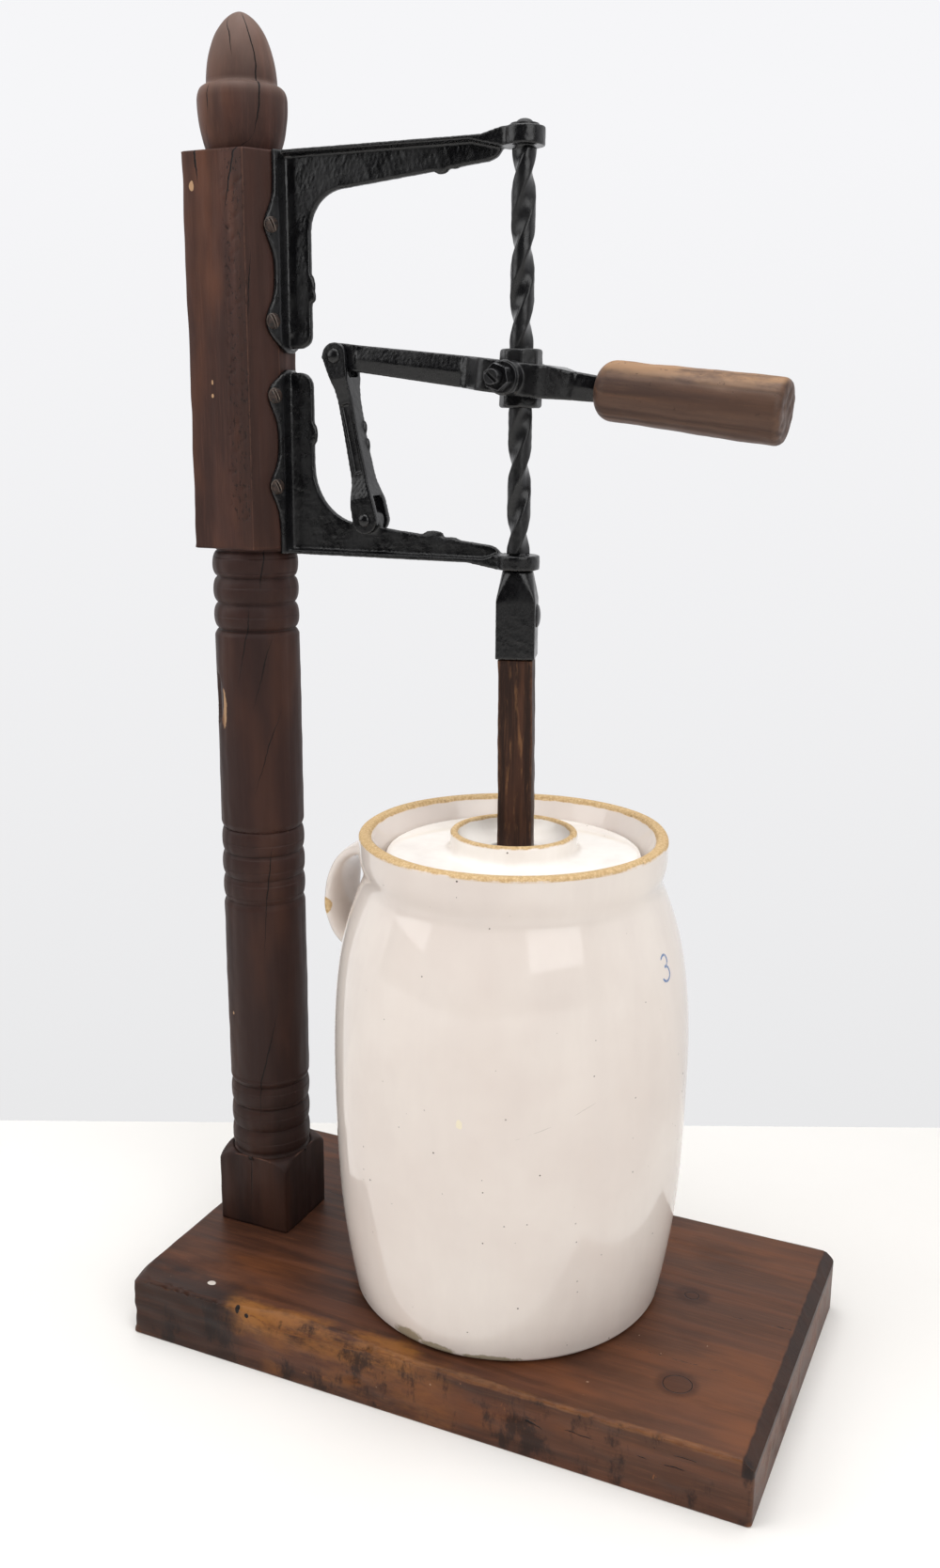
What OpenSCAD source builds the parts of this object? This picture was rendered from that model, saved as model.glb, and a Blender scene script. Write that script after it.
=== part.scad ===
// Floor butter churn worked by a hand lever on a twisted spindle.
// The origin is on the floor below the spindle. +X runs along the plank from the post to the
// grip, +Y to the back and +Z up.

/* [Base plank] */
// Length of the plank
plank_len = 470; // [450:5:520]
// How far the plank reaches past the crock's belly on each side
plank_side = 1.2; // [-6:0.2:20]
// Thickness of the plank
plank_t = 47; // [40:1:60]
// Distance from the plank's left end to the middle of the post
post_inset = 45; // [38:1:60]
// Bevel worn along the plank's top edges
plank_bevel = 4; // [1:0.5:8]

/* [Post] */
// Distance from the middle of the post to the spindle
reach = 205; // [200:1:225]
// Width of the square stock that the post is turned from
post_w = 61; // [56:1:70]
// Height of the square foot
foot_h = 60; // [45:1:80]
// Length of the turned stage between the square blocks
turned_len = 470; // [460:1:500]
// Height of the square block that carries the castings
block_h = 261; // [255:1:285]
// Spacing of the turned beads
bead_pitch = 18.6; // [14:0.2:20]
// Depth of the grooves between the lower beads
bead_depth = 2.2; // [1:0.1:4]
// Depth of the grooves between the top beads
top_bead_depth = 4; // [2:0.1:6]
// Distance from each end of the turned stage to the middle of its beads
bead_inset = 30; // [29:1:40]
// Height of the cup below the finial's egg
cup_h = 42; // [34:1:50]
// Largest radius of the cup
cup_r = 30.2; // [27:0.1:34]
// Height of the finial's egg
egg_h = 46; // [36:1:56]
// Largest radius of the finial's egg
egg_r = 23.5; // [19:0.1:26]

/* [Crock] */
// Height of the crock
crock_h = 343; // [325:1:360]
// Radius of the crock's rim band
rim_r = 107.4; // [103:0.2:112]
// Largest radius of the crock's belly
belly_r = 126.8; // [120:0.2:134]
// Height of the belly's widest place above the crock's foot
belly_h = 159.8; // [140:0.2:180]
// Radius of the crock's foot
crock_foot_r = 112; // [104:0.5:118]
// Radius of the crock's neck below the rim band
neck_r = 103.6; // [100:0.2:106]
// Thickness of the crock's wall
crock_wall = 10; // [7:0.5:13]
// Thickness of the crock's floor
crock_floor = 12; // [9:0.5:18]
// Height of the rim band
rim_band_h = 22; // [18:1:30]
// Width of the bare ring on top of the rim
rim_top_w = 8; // [6:0.5:10]
// Depth of the ledge for the lid below the rim
ledge_depth = 24; // [20:0.5:28]
// Width of the ledge that the lid rests on
ledge_w = 9; // [7:0.5:11]
// Radius of the strap handle's curve
handle_r = 44; // [40:1:48]
// Width of the strap handle
handle_w = 28; // [20:1:36]
// Thickness of the strap handle
handle_t = 9; // [7:0.5:11]
// Distance from the rim down to the middle of the handle
handle_drop = 67; // [60:1:80]
// Distance that the handle's curve is centred inside the rim band
handle_sunk = 3.4; // [0:0.2:6]

/* [Lid] */
// Thickness of the lid's disc
lid_t = 11; // [8:0.5:13]
// Height of the lid's collar above the disc
collar_h = 14; // [10:0.5:18]
// Outer radius of the lid's collar
collar_r = 43; // [38:0.5:48]
// Width of the bare ring on the collar
collar_top_w = 5; // [4:0.5:7]
// Radius of the hole that the rod passes through
lid_hole_r = 19; // [18.5:0.5:22]
// Gap between the lid's edge and the ledge's wall
lid_gap = 1.5; // [1:0.1:3]

/* [Brackets] */
// Thickness of the screw flanges
flange_t = 3.5; // [3:0.5:5]
// Half width of the flat middle of a screw flange
flange_mid = 12; // [10:0.5:14]
// Angle at which the flange's wings lean back onto the block's planed corners
wing_tilt = 32; // [26:1:38]
// Width of a wing at its lobes
lobe_reach = 10.5; // [9.5:0.5:12]
// Width of a wing at its waists
waist_reach = 3.5; // [2:0.5:6]
// Thickness of the webs
web_t = 5; // [4:0.5:7]
// Depth of the upright webs in front of the flange
web_depth = 17; // [14:0.5:22]
// Half width of the ribs along the arms
rib_half = 9; // [7:0.5:10]
// Thickness of the ribs along the arms
rib_t = 3; // [2.5:0.5:4]
// Outer radius of the upper ring
upper_ring_r = 13; // [12:0.5:16]
// Height of the upper ring
upper_ring_h = 11.3; // [8:0.1:14]
// Outer radius of the lower ring
lower_ring_r = 14.3; // [12.5:0.1:17]
// Height of the lower ring
lower_ring_h = 9.8; // [8:0.1:13]
// Bare wood between the free ends of the two screw flanges
flange_gap = 10.5; // [4:0.5:20]
// How much longer the upper screw flange is than the lower one
flange_more = 4; // [0:0.5:10]
// Depth of the upper arm at the ring
arm_tip_depth = 14.5; // [10:0.5:17]
// Depth of the upper arm at its root
arm_root_depth = 28; // [23:0.5:32]

/* [Spindle] */
// Diameter of the twisted bar
bar_d = 15.4; // [14:0.1:16.5]
// Distance across the bar's two flats
bar_flats = 10.2; // [9:0.1:12]
// Height that one full turn of the twist takes
lead = 88.8; // [70:0.2:110]
// Direction that the bar's flats face at the floor's height
bar_phase = 315; // [0:5:355]
// Diameter of the bar's round ends
journal_d = 12.5; // [11:0.1:13.5]
// Width across the flats of the sleeve nut
sleeve_w = 26; // [24:0.5:28]
// Length of the sleeve nut
sleeve_h = 36.5; // [32:0.5:42]

/* [Lever and link] */
// Height of the link's lower pin above the lower arm's underside
link_foot_up = 25.2; // [24:0.2:30]
// Distance from the spindle to the link's lower pin
link_foot_out = 110; // [106:0.5:114]
// Height of the lever's pivot above the link's lower pin at rest
pivot_up = 93; // [88:0.5:98]
// Distance from the lever's pivot to the link's upper pin
lever_arm = 133; // [129:0.5:136]
// Angle that the lever's grip end hangs down at rest
lever_tilt = 6.5; // [4:0.5:9]
// Width of the lever's arms
arm_w = 14; // [12:0.5:16]
// Height of the lever at the link
arm_end_h = 17.4; // [15:0.2:19]
// Height of the lever at its loop
loop_h = 20.4; // [18:0.2:23]
// Half length of the hole in the lever's loop
loop_half = 21; // [20.5:0.5:24]
// Half width of the hole in the lever's loop
loop_side = 15; // [14.8:0.2:17]
// Thickness of the loop's side bars
loop_bar = 8; // [6:0.5:10]
// Radius of the pivot bosses
boss_r = 11; // [9.5:0.5:12.5]
// Distance from the spindle to the bosses' outer faces
boss_out = 30; // [27:0.5:33]
// Width of the lever's tongue in the link's fork
tongue_w = 11.6; // [10:0.2:12]
// Thickness of the link's fork ears
ear_t = 4.3; // [3.5:0.1:5.5]
// Radius of the link's fork ears
ear_r = 8.8; // [8.2:0.1:9.6]
// Width of the link's shank
shank_w = 12; // [10:0.5:13]
// Thickness of the link's shank
shank_t = 14; // [11:0.5:17]
// Diameter of the link's pins
pin_d = 6; // [5:0.2:6.4]

/* [Grip] */
// Distance from the pivot to the near end of the grip
grip_out = 53.4; // [50:0.2:60]
// Length of the grip
grip_len = 121; // [100:1:135]
// Diameter of the grip's near end
grip_near_d = 37; // [32:0.5:40]
// Diameter of the grip's far end
grip_far_d = 41; // [36:0.5:46]
// Diameter of the lever's tang inside the grip
tang_d = 11; // [9:0.5:12]

/* [Dasher] */
// Width of the socket's square body
socket_w = 26.2; // [25.6:0.2:30]
// Height of the socket
socket_h = 58.4; // [54:0.2:68]
// Height of the socket's tapered neck
socket_neck_h = 19; // [16:0.5:25]
// Radius of the socket's round top
socket_top_r = 10.2; // [9.5:0.1:12]
// Width of the rod's tenon in the socket
rod_w = 21.5; // [19:0.5:22]
// Width of the rod at its shoulder under the socket
rod_neck_w = 23.4; // [22.4:0.2:24.4]
// Width of the rod at its foot
rod_foot_w = 26; // [24:0.5:26.5]
// Angle that the rod is turned about the spindle at rest
rod_turn = 17; // [0:1:45]
// Length of a dasher blade
blade_len = 150; // [120:1:156]
// Height of a dasher blade
blade_h = 44; // [30:1:56]
// Thickness of a dasher blade
blade_t = 10; // [8:0.5:12]
// Diameter of the pegs that hold the blades
peg_d = 5; // [4:0.5:6]
// Gap between the rod's foot and the crock's floor
rod_gap = 14; // [8:1:24]

/* [Fasteners] */
// Diameter of a bracket screw's head
screw_head_d = 10.6; // [9:0.2:12]
// Diameter of a bracket screw's shank
screw_d = 4.5; // [3.5:0.1:5.5]
// Length of a bracket screw's shank in the post
screw_len = 19; // [14:1:21]
// Distance of the bracket screws from the wing's bend
screw_out = 6; // [5.5:0.25:7]
// Distance from the upper arm's top down to its near screws
upper_screw_drop = 47.5; // [40:0.5:52]
// Distance from the lower arm's underside up to its near screws
lower_screw_rise = 46.5; // [40:0.5:50]
// Distance from the upper flange's free end to its far screws
upper_screw_end = 20.5; // [16:0.5:26]
// Distance from the lower flange's free end to its far screws
lower_screw_end = 17.5; // [15:0.5:24]
// Diameter of the lever's pivot screws
pivot_d = 9.5; // [8:0.1:10.5]
// Width across the flats of the pivot lock nuts
lock_nut_w = 15; // [14:0.5:17]
// Thickness of the pivot lock nuts
lock_nut_t = 9.5; // [7:0.5:11]
// Thickness of the pivot washers
washer_t = 1.8; // [1:0.1:2.5]
// Diameter of the lag screws below the post
lag_d = 9.5; // [8:0.5:12]
// Length of the lag screws in the post
lag_len = 70; // [50:1:90]
// Distance between the two lag screws
lag_gap = 30; // [27:1:32]
// Diameter of the bolt through the socket
bolt_d = 6; // [5:0.1:7]
// Diameter of the bolt's low round head
bolt_head_d = 16; // [13:0.5:18]
// Length of the bolt's shank in the socket and the rod
bolt_len = 20; // [14:0.5:24]
// Distance from the socket's shoulder down to the bolt
bolt_drop = 11; // [8:0.5:16]

/* [Motion] */
// How far the sleeve nut runs down from rest
stroke_down = 20; // [10:1:20]
// How far the sleeve nut runs up from rest
stroke_up = 60; // [40:1:60]

/* [Hidden] */

// Fineness of round pieces and of curves drawn point by point
$fn = 72;
curve_steps = 12;
eps = 0.01;

// Clearances: a running fit, a fixed fit and the least gap between loose pieces
run_fit = 0.05;
snug_fit = 0.05;
loose_gap = 0.4;

// Colours
iron = "#232326";
steel = "#4a4642";
old_wood = "#5b3324";
rod_wood = "#4a3022";
grip_wood = "#86603f";
stoneware = "#e6e0d6";

// Heights of the post's stages
post_x = -reach;
plank_w = 2 * (belly_r + plank_side);
plank_x0 = post_x - post_inset;
block_z0 = plank_t + foot_h + turned_len;
block_z1 = block_z0 + block_h;
turned_r = post_w / 2 + 0.1;
face_x = post_x + post_w / 2;
flange_x = face_x + flange_t;
web_x = flange_x + web_depth;

// The castings hang from the ends of the block
arm_top = block_z1 + 0.5;
arm_low = block_z0 - 3;
upper_ring_z = arm_top + 3.5 - upper_ring_h;
lower_ring_z = arm_low - 3.6;
lower_ring_top = lower_ring_z + lower_ring_h;
flange_half_h = (arm_top - arm_low - flange_gap) / 2;
upper_flange_len = flange_half_h + flange_more / 2;
lower_flange_len = flange_half_h - flange_more / 2;
upper_screws = [arm_top - upper_screw_drop, arm_top - upper_flange_len + upper_screw_end];
lower_screws = [arm_low + lower_flange_len - lower_screw_end, arm_low + lower_screw_rise];
lobe_spread = 13;
bend_back = flange_mid - flange_t * tan(wing_tilt / 2);
planed_in = (post_w / 2 - bend_back) * tan(wing_tilt);
rib_z = arm_low + rib_t;

// Linkage at rest
foot_pin = [-link_foot_out, 0, arm_low + link_foot_up];
pivot = [0, 0, foot_pin[2] + pivot_up];
head_pin = [-lever_arm * cos(lever_tilt), 0, pivot[2] + lever_arm * sin(lever_tilt)];
link_len = norm(head_pin - foot_pin);
link_lean = atan2(foot_pin[0] - head_pin[0], head_pin[2] - foot_pin[2]);
fork_gap = tongue_w + 0.8;
fork_depth = 15;
fork_w = fork_gap + 2 * ear_t;

// Room in the lever's slot for the pin's path over the whole stroke
slot_out = 4.9;
slot_in = 1.7;
slot_low = 0.8;
slot_high = 0.3;

// Spindle
bar_z0 = lower_ring_top + loose_gap;
bar_z1 = upper_ring_z - loose_gap;
twist_step = 9;
bar_gap = 0.4;
shaft_washer_t = 1.6;
shaft_washer_z = arm_top + 3.5 + 0.1;
socket_z1 = lower_ring_z - loose_gap;
socket_z0 = socket_z1 - socket_h;
shank_depth = 24;
rod_top = socket_z1 - shank_depth - 1;
bolt_z = socket_z1 - socket_neck_h - bolt_drop;
crock_z1 = plank_t + crock_h;
rod_z0 = plank_t + crock_floor + rod_gap;
blade_z = [rod_z0 + 12, rod_z0 + 20 + blade_h];

// Crock and lid
neck_drop = 10;
neck_h = crock_h - rim_band_h - neck_drop;
swell = 2.2;
shoulder_swell = 3;
rim_in_r = rim_r - rim_top_w;
ledge_z = crock_h - ledge_depth;
rim_lead = 9;
ledge_wall_r = rim_in_r - rim_lead;
ledge_in_r = ledge_wall_r - ledge_w;
lid_r = ledge_wall_r - lid_gap;
lid_z = plank_t + ledge_z;
handle_z = crock_h - handle_drop;
handle_x = handle_sunk - rim_r;

// Points on an arc from one angle to another
function arc(centre, radius, from, to, steps = curve_steps) = [
    for (i = [0:steps]) centre + radius * [cos(from + (to - from) * i / steps), sin(from + (to - from) * i / steps)]
];

// Points on a quarter of an ellipse
function oval(centre, size, from, to, steps = curve_steps) = [
    for (i = [0:steps])
        let (a = from + (to - from) * i / steps)
            centre + [size[0] * cos(a), size[1] * sin(a)]
];

// Extrudes an outline drawn in X and Z along Y, centred on the plane of the castings
module along_y(width) {
    rotate([90, 0, 0]) linear_extrude(height = width, center = true) children();
}

// Extrudes an outline drawn in Y and Z along X
module along_x(length) {
    rotate([90, 0, 90]) linear_extrude(height = length) children();
}

// Cylinder that lies along Y
module cross_bar(radius, from, to) {
    translate([0, from, 0]) rotate([-90, 0, 0]) cylinder(r = radius, h = to - from);
}

// Copies a shape to the front and to the back
module both_sides() {
    children();
    mirror([0, 1, 0]) children();
}

// The plank, with its worn top edges and the recesses for the lag screws' heads
lag_head_d = 17;
lag_head_t = 6.5;
lag_recess_d = 26;
lag_recess_h = 12;
lag_washer_t = 2;

module plank_outline(length) {
    polygon([
        [0, 0], [length, 0], [length, plank_t - plank_bevel], [length - plank_bevel, plank_t],
        [plank_bevel, plank_t], [0, plank_t - plank_bevel]
    ]);
}

module base_plank() {
    color(old_wood) difference() {
        intersection() {
            translate([plank_x0, 0, 0]) along_y(plank_w) plank_outline(plank_len);
            translate([plank_x0, 0, 0]) along_x(plank_len) translate([-plank_w / 2, 0]) plank_outline(plank_w);
        }
        at_lags() {
            translate([0, 0, -eps]) cylinder(d = lag_recess_d, h = lag_recess_h + eps);
            cylinder(d = lag_d + 2 * snug_fit, h = plank_t + eps);
        }
    }
}

module at_lags() {
    for (side = [-1, 1]) translate([post_x, side * lag_gap / 2, 0]) children();
}

module post_lag_screws() {
    color(steel) at_lags() {
        translate([0, 0, lag_recess_h - lag_washer_t]) cylinder(d = lag_recess_d - 2, h = lag_washer_t);
        translate([0, 0, lag_recess_h - lag_washer_t - lag_head_t]) cylinder(d = lag_head_d, h = lag_head_t + eps, $fn = 6);
        translate([0, 0, lag_recess_h - eps]) cylinder(d = lag_d, h = plank_t - lag_recess_h + lag_len);
    }
}

// The post is turned from one square piece. Each group has three beads between sharp grooves.
foot_shoulder = 13;
bead_steps = 10;

// Radius at a share of the way from one groove to the next
function bead_r(share, depth) = turned_r - depth + depth * sqrt(1 - pow(2 * share - 1, 2));

function bead_group(centre, depth) = [
    for (i = [0:3 * bead_steps])
        [bead_r((i % bead_steps) / bead_steps, depth), centre + (i / bead_steps - 1.5) * bead_pitch]
];

module turned_stage() {
    z0 = plank_t + foot_h;
    ease = 4;
    middle = z0 + turned_len / 2;
    groups = [[z0 + bead_inset, bead_depth], [middle, bead_depth], [block_z0 - bead_inset, top_bead_depth]];
    half_group = 1.5 * bead_pitch;
    outline = [
        for (group = groups) each concat(
            [[turned_r, max(group[0] - half_group - ease, z0 + eps)]],
            bead_group(group[0], group[1]),
            [[turned_r, min(group[0] + half_group + ease, block_z0 - eps)]]
        )
    ];
    rotate_extrude() polygon(concat([[0, z0 - eps], [turned_r, z0 - eps]], outline, [[turned_r, block_z0 + eps], [0, block_z0 + eps]]));
}

module finial() {
    throat_r = cup_r - 6;
    lip = 6;
    cup = [
        for (i = [0:curve_steps])
            let (t = i / curve_steps)
                [throat_r + 6 * (1 - pow(1 - t, 1.8)), t * (cup_h - lip)]
    ];
    egg = [
        for (i = [0:curve_steps])
            let (t = sin(90 * i / curve_steps))
                [egg_r * pow(1 - pow(t, 1.9), 0.6), cup_h + t * egg_h]
    ];
    rotate_extrude() polygon(concat(
        [[0, -eps], [throat_r, -eps]],
        cup,
        oval([egg_r, cup_h - lip], [cup_r - egg_r, lip], 0, 80, 6),
        egg
    ));
}

module post() {
    block = post_w / 2;
    color(old_wood) difference() {
        translate([post_x, 0, 0]) {
            intersection() {
                translate([-block, -block, plank_t]) cube([post_w, post_w, foot_h]);
                rotate_extrude() polygon(concat(
                    [[0, plank_t - 1], [post_w, plank_t - 1], [post_w, plank_t + foot_h - foot_shoulder]],
                    oval([turned_r, plank_t + foot_h - foot_shoulder], [post_w * 0.707 - turned_r, foot_shoulder], 0, 90),
                    [[0, plank_t + foot_h]]
                ));
            }
            turned_stage();
            translate([0, 0, block_z0]) linear_extrude(block_h) polygon([
                [-block, -block], [block - planed_in, -block], [block, -bend_back],
                [block, bend_back], [block - planed_in, block], [-block, block]
            ]);
            translate([0, 0, block_z1]) finial();
        }
        at_lags() translate([0, 0, plank_t - eps]) cylinder(d = lag_d + 2 * snug_fit, h = lag_len + 1);
        for (z = concat(upper_screws, lower_screws)) at_screws(z) cross_hole();
    }
}

// Places a shape drawn on the flange's front onto one of its wings, with the bend as its edge
module on_wing(side) {
    translate([flange_x, side * flange_mid, 0]) rotate(side * wing_tilt) children();
}

// Places a screw on each wing at one height, square to the planed corner that it goes into
module at_screws(z) {
    for (side = [-1, 1]) on_wing(side) translate([-flange_t, side * screw_out, z]) rotate([0, 90, 0]) children();
}

module cross_hole() {
    translate([0, 0, -screw_len]) cylinder(d = screw_d + 2 * snug_fit, h = screw_len + flange_t + 1, $fn = 32);
}

// Round-headed wood screw with a slotted head
module wood_screw() {
    head_h = 2.8;
    slot_w = 1.3;
    slot_h = 1.5;
    translate([0, 0, 1 - screw_len]) cylinder(d = screw_d, h = screw_len - 1 + flange_t + eps, $fn = 32);
    translate([0, 0, flange_t]) difference() {
        rotate_extrude($fn = 32) polygon(concat([[0, 0]], oval([0, 0], [screw_head_d / 2, head_h], 0, 90, 6)));
        rotate(25) translate([-screw_head_d, -slot_w / 2, head_h - slot_h]) cube([2 * screw_head_d, slot_w, slot_h + 1]);
    }
}

module upper_bracket_screws() {
    color(steel) for (z = upper_screws) at_screws(z) wood_screw();
}

module lower_bracket_screws() {
    color(steel) for (z = lower_screws) at_screws(z) wood_screw();
}

// Width of a screw flange on each side of the web: it swells to a lobe at each screw and rounds off at its free end
flange_end = 14;
least_share = 0.3;

function flange_half(z, screws, free_z) =
    let (near = min(abs(z - free_z), flange_end) / flange_end)
        (flange_mid + waist_reach + (lobe_reach - waist_reach) * (lobe_share(z - screws[0]) + lobe_share(z - screws[1])))
        * max(least_share, sqrt(1 - pow(1 - near, 2)));

function lobe_share(offset) = exp(-pow(offset / lobe_spread, 2));

// The flange before it is bent, with its front at X = 0
module flat_flange(z0, z1, screws, free_z) {
    steps = 44;
    edge = [for (i = [0:steps]) let (z = z0 + (z1 - z0) * i / steps) [flange_half(z, screws, free_z), z]];
    translate([-flange_t, 0, 0]) along_x(flange_t) polygon(concat(
        edge,
        [for (i = [steps:-1:0]) [-edge[i][0], edge[i][1]]]
    ));
}

// Keeps what lies between two distances from the middle of the flat flange
module flange_strip(y0, y1, z0, z1) {
    translate([-2 * flange_t, y0, z0 - 1]) cube([3 * flange_t, y1 - y0, z1 - z0 + 2]);
}

module screw_flange(z0, z1, screws, free_z) {
    far = flange_mid + 2 * lobe_reach;
    translate([flange_x, 0, 0]) intersection() {
        flat_flange(z0, z1, screws, free_z);
        flange_strip(-flange_mid, flange_mid, z0, z1);
    }
    for (side = [-1, 1]) on_wing(side) translate([0, -side * flange_mid, 0]) intersection() {
        flat_flange(z0, z1, screws, free_z);
        flange_strip(side > 0 ? flange_mid : -far, side > 0 ? far : -flange_mid, z0, z1);
    }
}

// The upper bracket: screw flange, web with a large inner corner, rib along the top and the ring
module upper_bracket() {
    corner = 26;
    slope = atan2(arm_root_depth - arm_tip_depth, -web_x - 18);
    foot = 9;
    z0 = arm_top - upper_flange_len + 3;
    corner_x = web_x + corner;
    line_z = arm_top - arm_root_depth + (corner_x - corner * sin(slope) - web_x) * tan(slope);
    corner_z = line_z - corner * cos(slope);
    color(iron) difference() {
        union() {
            screw_flange(arm_top - upper_flange_len, arm_top, upper_screws, arm_top - upper_flange_len);
            along_y(web_t) polygon(concat(
                [[face_x, z0]],
                arc([web_x - foot, z0 + foot], foot, -90, 0, 6),
                arc([corner_x, corner_z], corner, 180, 90 + slope),
                oval([-27, arm_top - arm_tip_depth + 9], [13, 10], -90, 0, 8),
                [[-8, upper_ring_z], [-8, arm_top - 1], [face_x, arm_top - 1]]
            ));
            along_y(2 * rib_half) polygon([
                [face_x, arm_top - rib_t], [-34, arm_top - rib_t], [-14, upper_ring_z],
                [0, upper_ring_z], [0, arm_top + 3.5], [-12, arm_top + 3.5], [-26, arm_top], [face_x, arm_top]
            ]);
            web_fillets(z0 + foot, arm_top - rib_t);
            translate([0, 0, upper_ring_z]) cylinder(r = upper_ring_r, h = upper_ring_h);
        }
        translate([0, 0, upper_ring_z - 1]) cylinder(d = journal_d + 2 * run_fit, h = upper_ring_h + 2);
        for (z = upper_screws) at_screws(z) cylinder(d = screw_d + 2 * snug_fit, h = 3 * flange_t, center = true, $fn = 32);
    }
}

// Cast fillets where an upright web leaves its flange
module web_fillets(z0, z1) {
    fillet = 5;
    translate([flange_x, 0, z0]) linear_extrude(z1 - z0) polygon([
        [-1, -fillet - web_t / 2], [0, -fillet - web_t / 2], [1, -web_t / 2 - 1.5], [fillet, -web_t / 2],
        [fillet, web_t / 2], [1, web_t / 2 + 1.5], [0, fillet + web_t / 2], [-1, fillet + web_t / 2]
    ]);
}

// The lower bracket: screw flange, web with the link's lug, rib along the bottom and the ring
module lower_bracket() {
    corner = 38;
    fall = 5.5;
    head = 10;
    lug_r = 8;
    z1 = arm_low + lower_flange_len - 2;
    tip_z = arm_low + 12;
    corner_z = arm_low + 22 + corner;
    color(iron) difference() {
        union() {
            screw_flange(arm_low, arm_low + lower_flange_len, lower_screws, arm_low + lower_flange_len);
            along_y(web_t) polygon(concat(
                [[face_x, arm_low + 1], [-8, arm_low + 1], [-8, tip_z - 6]],
                oval([-24, tip_z - 6], [11, 6], 0, 90, 6),
                arc([web_x + corner, corner_z], corner, 270 - fall, 180),
                arc([web_x - head, z1 - head], head, 0, 90, 6),
                [[face_x, z1]]
            ));
            along_y(2 * rib_half) polygon([
                [face_x, arm_low], [-34, arm_low], [-12, lower_ring_z], [0, lower_ring_z],
                [0, lower_ring_top], [-14, lower_ring_top], [-22, rib_z], [face_x, rib_z]
            ]);
            web_fillets(rib_z, z1 - head);
            translate([foot_pin[0], 0, foot_pin[2]]) cross_bar(lug_r, -tongue_w / 2, tongue_w / 2);
            translate([foot_pin[0], 0, arm_low + 6]) linear_extrude(link_foot_up - 6)
                square([2 * lug_r, web_t], center = true);
            translate([0, 0, lower_ring_z]) cylinder(r = lower_ring_r, h = lower_ring_h);
        }
        translate([0, 0, lower_ring_z - 1]) cylinder(d = journal_d + 2 * run_fit, h = lower_ring_h + 2);
        translate([foot_pin[0], 0, foot_pin[2]]) cross_bar(pin_d / 2 + run_fit, -tongue_w, tongue_w);
        for (z = lower_screws) at_screws(z) cylinder(d = screw_d + 2 * snug_fit, h = 3 * flange_t, center = true, $fn = 32);
    }
}

// Section of the twisted bar: a round with two flats that face along X
function bar_section(grow) =
    let (r = bar_d / 2 + grow, half = bar_flats / 2 + grow, a = acos(half / r), steps = 6)
        concat(arc([0, 0], r, a, 180 - a, steps), arc([0, 0], r, 180 + a, 360 - a, steps));

module twisted_bar(z0, z1, grow) {
    turn = 360 * (z1 - z0) / lead;
    translate([0, 0, z0]) rotate(bar_phase + 360 * z0 / lead)
        linear_extrude(height = z1 - z0, twist = -turn, slices = ceil(turn / twist_step), segments = 14)
            polygon(bar_section(grow));
}

module spiral_shaft() {
    rivet_r = 4;
    rivet_h = 3;
    color(iron) {
        twisted_bar(bar_z0, bar_z1, 0);
        translate([0, 0, socket_z1 - shank_depth]) cylinder(d = journal_d, h = bar_z0 + 5 - socket_z1 + shank_depth);
        translate([0, 0, bar_z1 - 5]) cylinder(d = journal_d, h = shaft_washer_z - bar_z1 + 5);
        translate([0, 0, shaft_washer_z - eps]) cylinder(r = rivet_r, h = shaft_washer_t + eps);
        translate([0, 0, shaft_washer_z + shaft_washer_t]) rotate_extrude()
            polygon(concat([[0, 0]], oval([0, 0], [rivet_r + 1.5, rivet_h], 0, 90, 6)));
    }
}

module shaft_washer() {
    color(steel) translate([0, 0, shaft_washer_z]) difference() {
        cylinder(r = upper_ring_r - 4, h = shaft_washer_t);
        translate([0, 0, -1]) cylinder(r = 4 + snug_fit, h = shaft_washer_t + 2);
    }
}

// The sleeve nut has the bar's twisted shape inside and a seat for each pivot screw's tip
tip_d = 7;
tip_depth = 3.4;

module sleeve_nut() {
    color(iron) difference() {
        translate([0, 0, pivot[2] - sleeve_h / 2]) rotate(22.5)
            cylinder(d = sleeve_w / cos(22.5), h = sleeve_h, $fn = 8);
        twisted_bar(pivot[2] - sleeve_h / 2 - 1, pivot[2] + sleeve_h / 2 + 1, bar_gap);
        translate(pivot) both_sides() cross_bar(tip_d / 2 + run_fit, sleeve_w / 2 - tip_depth, sleeve_w);
    }
}

// Places a shape drawn along the lever, with the pivot at its origin
module at_lever() {
    translate(pivot) rotate([0, lever_tilt, 0]) children();
}

// Six-sided section of the lever's arms, widest at half height
module arm_section(height) {
    crown = arm_w / 2 - 2.5;
    polygon([
        [-arm_w / 2, 0], [-crown, -height / 2], [crown, -height / 2],
        [arm_w / 2, 0], [crown, height / 2], [-crown, height / 2]
    ]);
}

// Side view of the lever between its tongue and its tang: it tapers from the loop to both ends
module lever_side() {
    half = loop_h / 2;
    shoulder = loop_half + 13;
    polygon([
        [tongue_end - lever_arm, -arm_end_h / 2], [-shoulder, -half], [loop_half + 2, -half], [shoulder, 0.8 - half],
        [grip_out, 1.6 - half], [grip_out, half - 2.6], [shoulder, half - 1.6], [loop_half + 2, half],
        [-shoulder, half], [tongue_end - lever_arm, arm_end_h / 2]
    ]);
}

// Plan view of the loop, flared from the arms in an even curve
module loop_plan(length, side, flare) {
    quarter = [
        for (i = [0:curve_steps])
            let (t = i / curve_steps)
                [length - 10 + (flare + 10) * (1 - t), arm_w / 2 + (side - arm_w / 2) * (1 - cos(180 * t)) / 2]
    ];
    polygon(concat(
        quarter,
        [for (i = [curve_steps:-1:0]) [-quarter[i][0], quarter[i][1]]],
        [for (p = quarter) [-p[0], -p[1]]],
        [for (i = [curve_steps:-1:0]) [quarter[i][0], -quarter[i][1]]]
    ));
}

tongue_end = 15;

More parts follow.
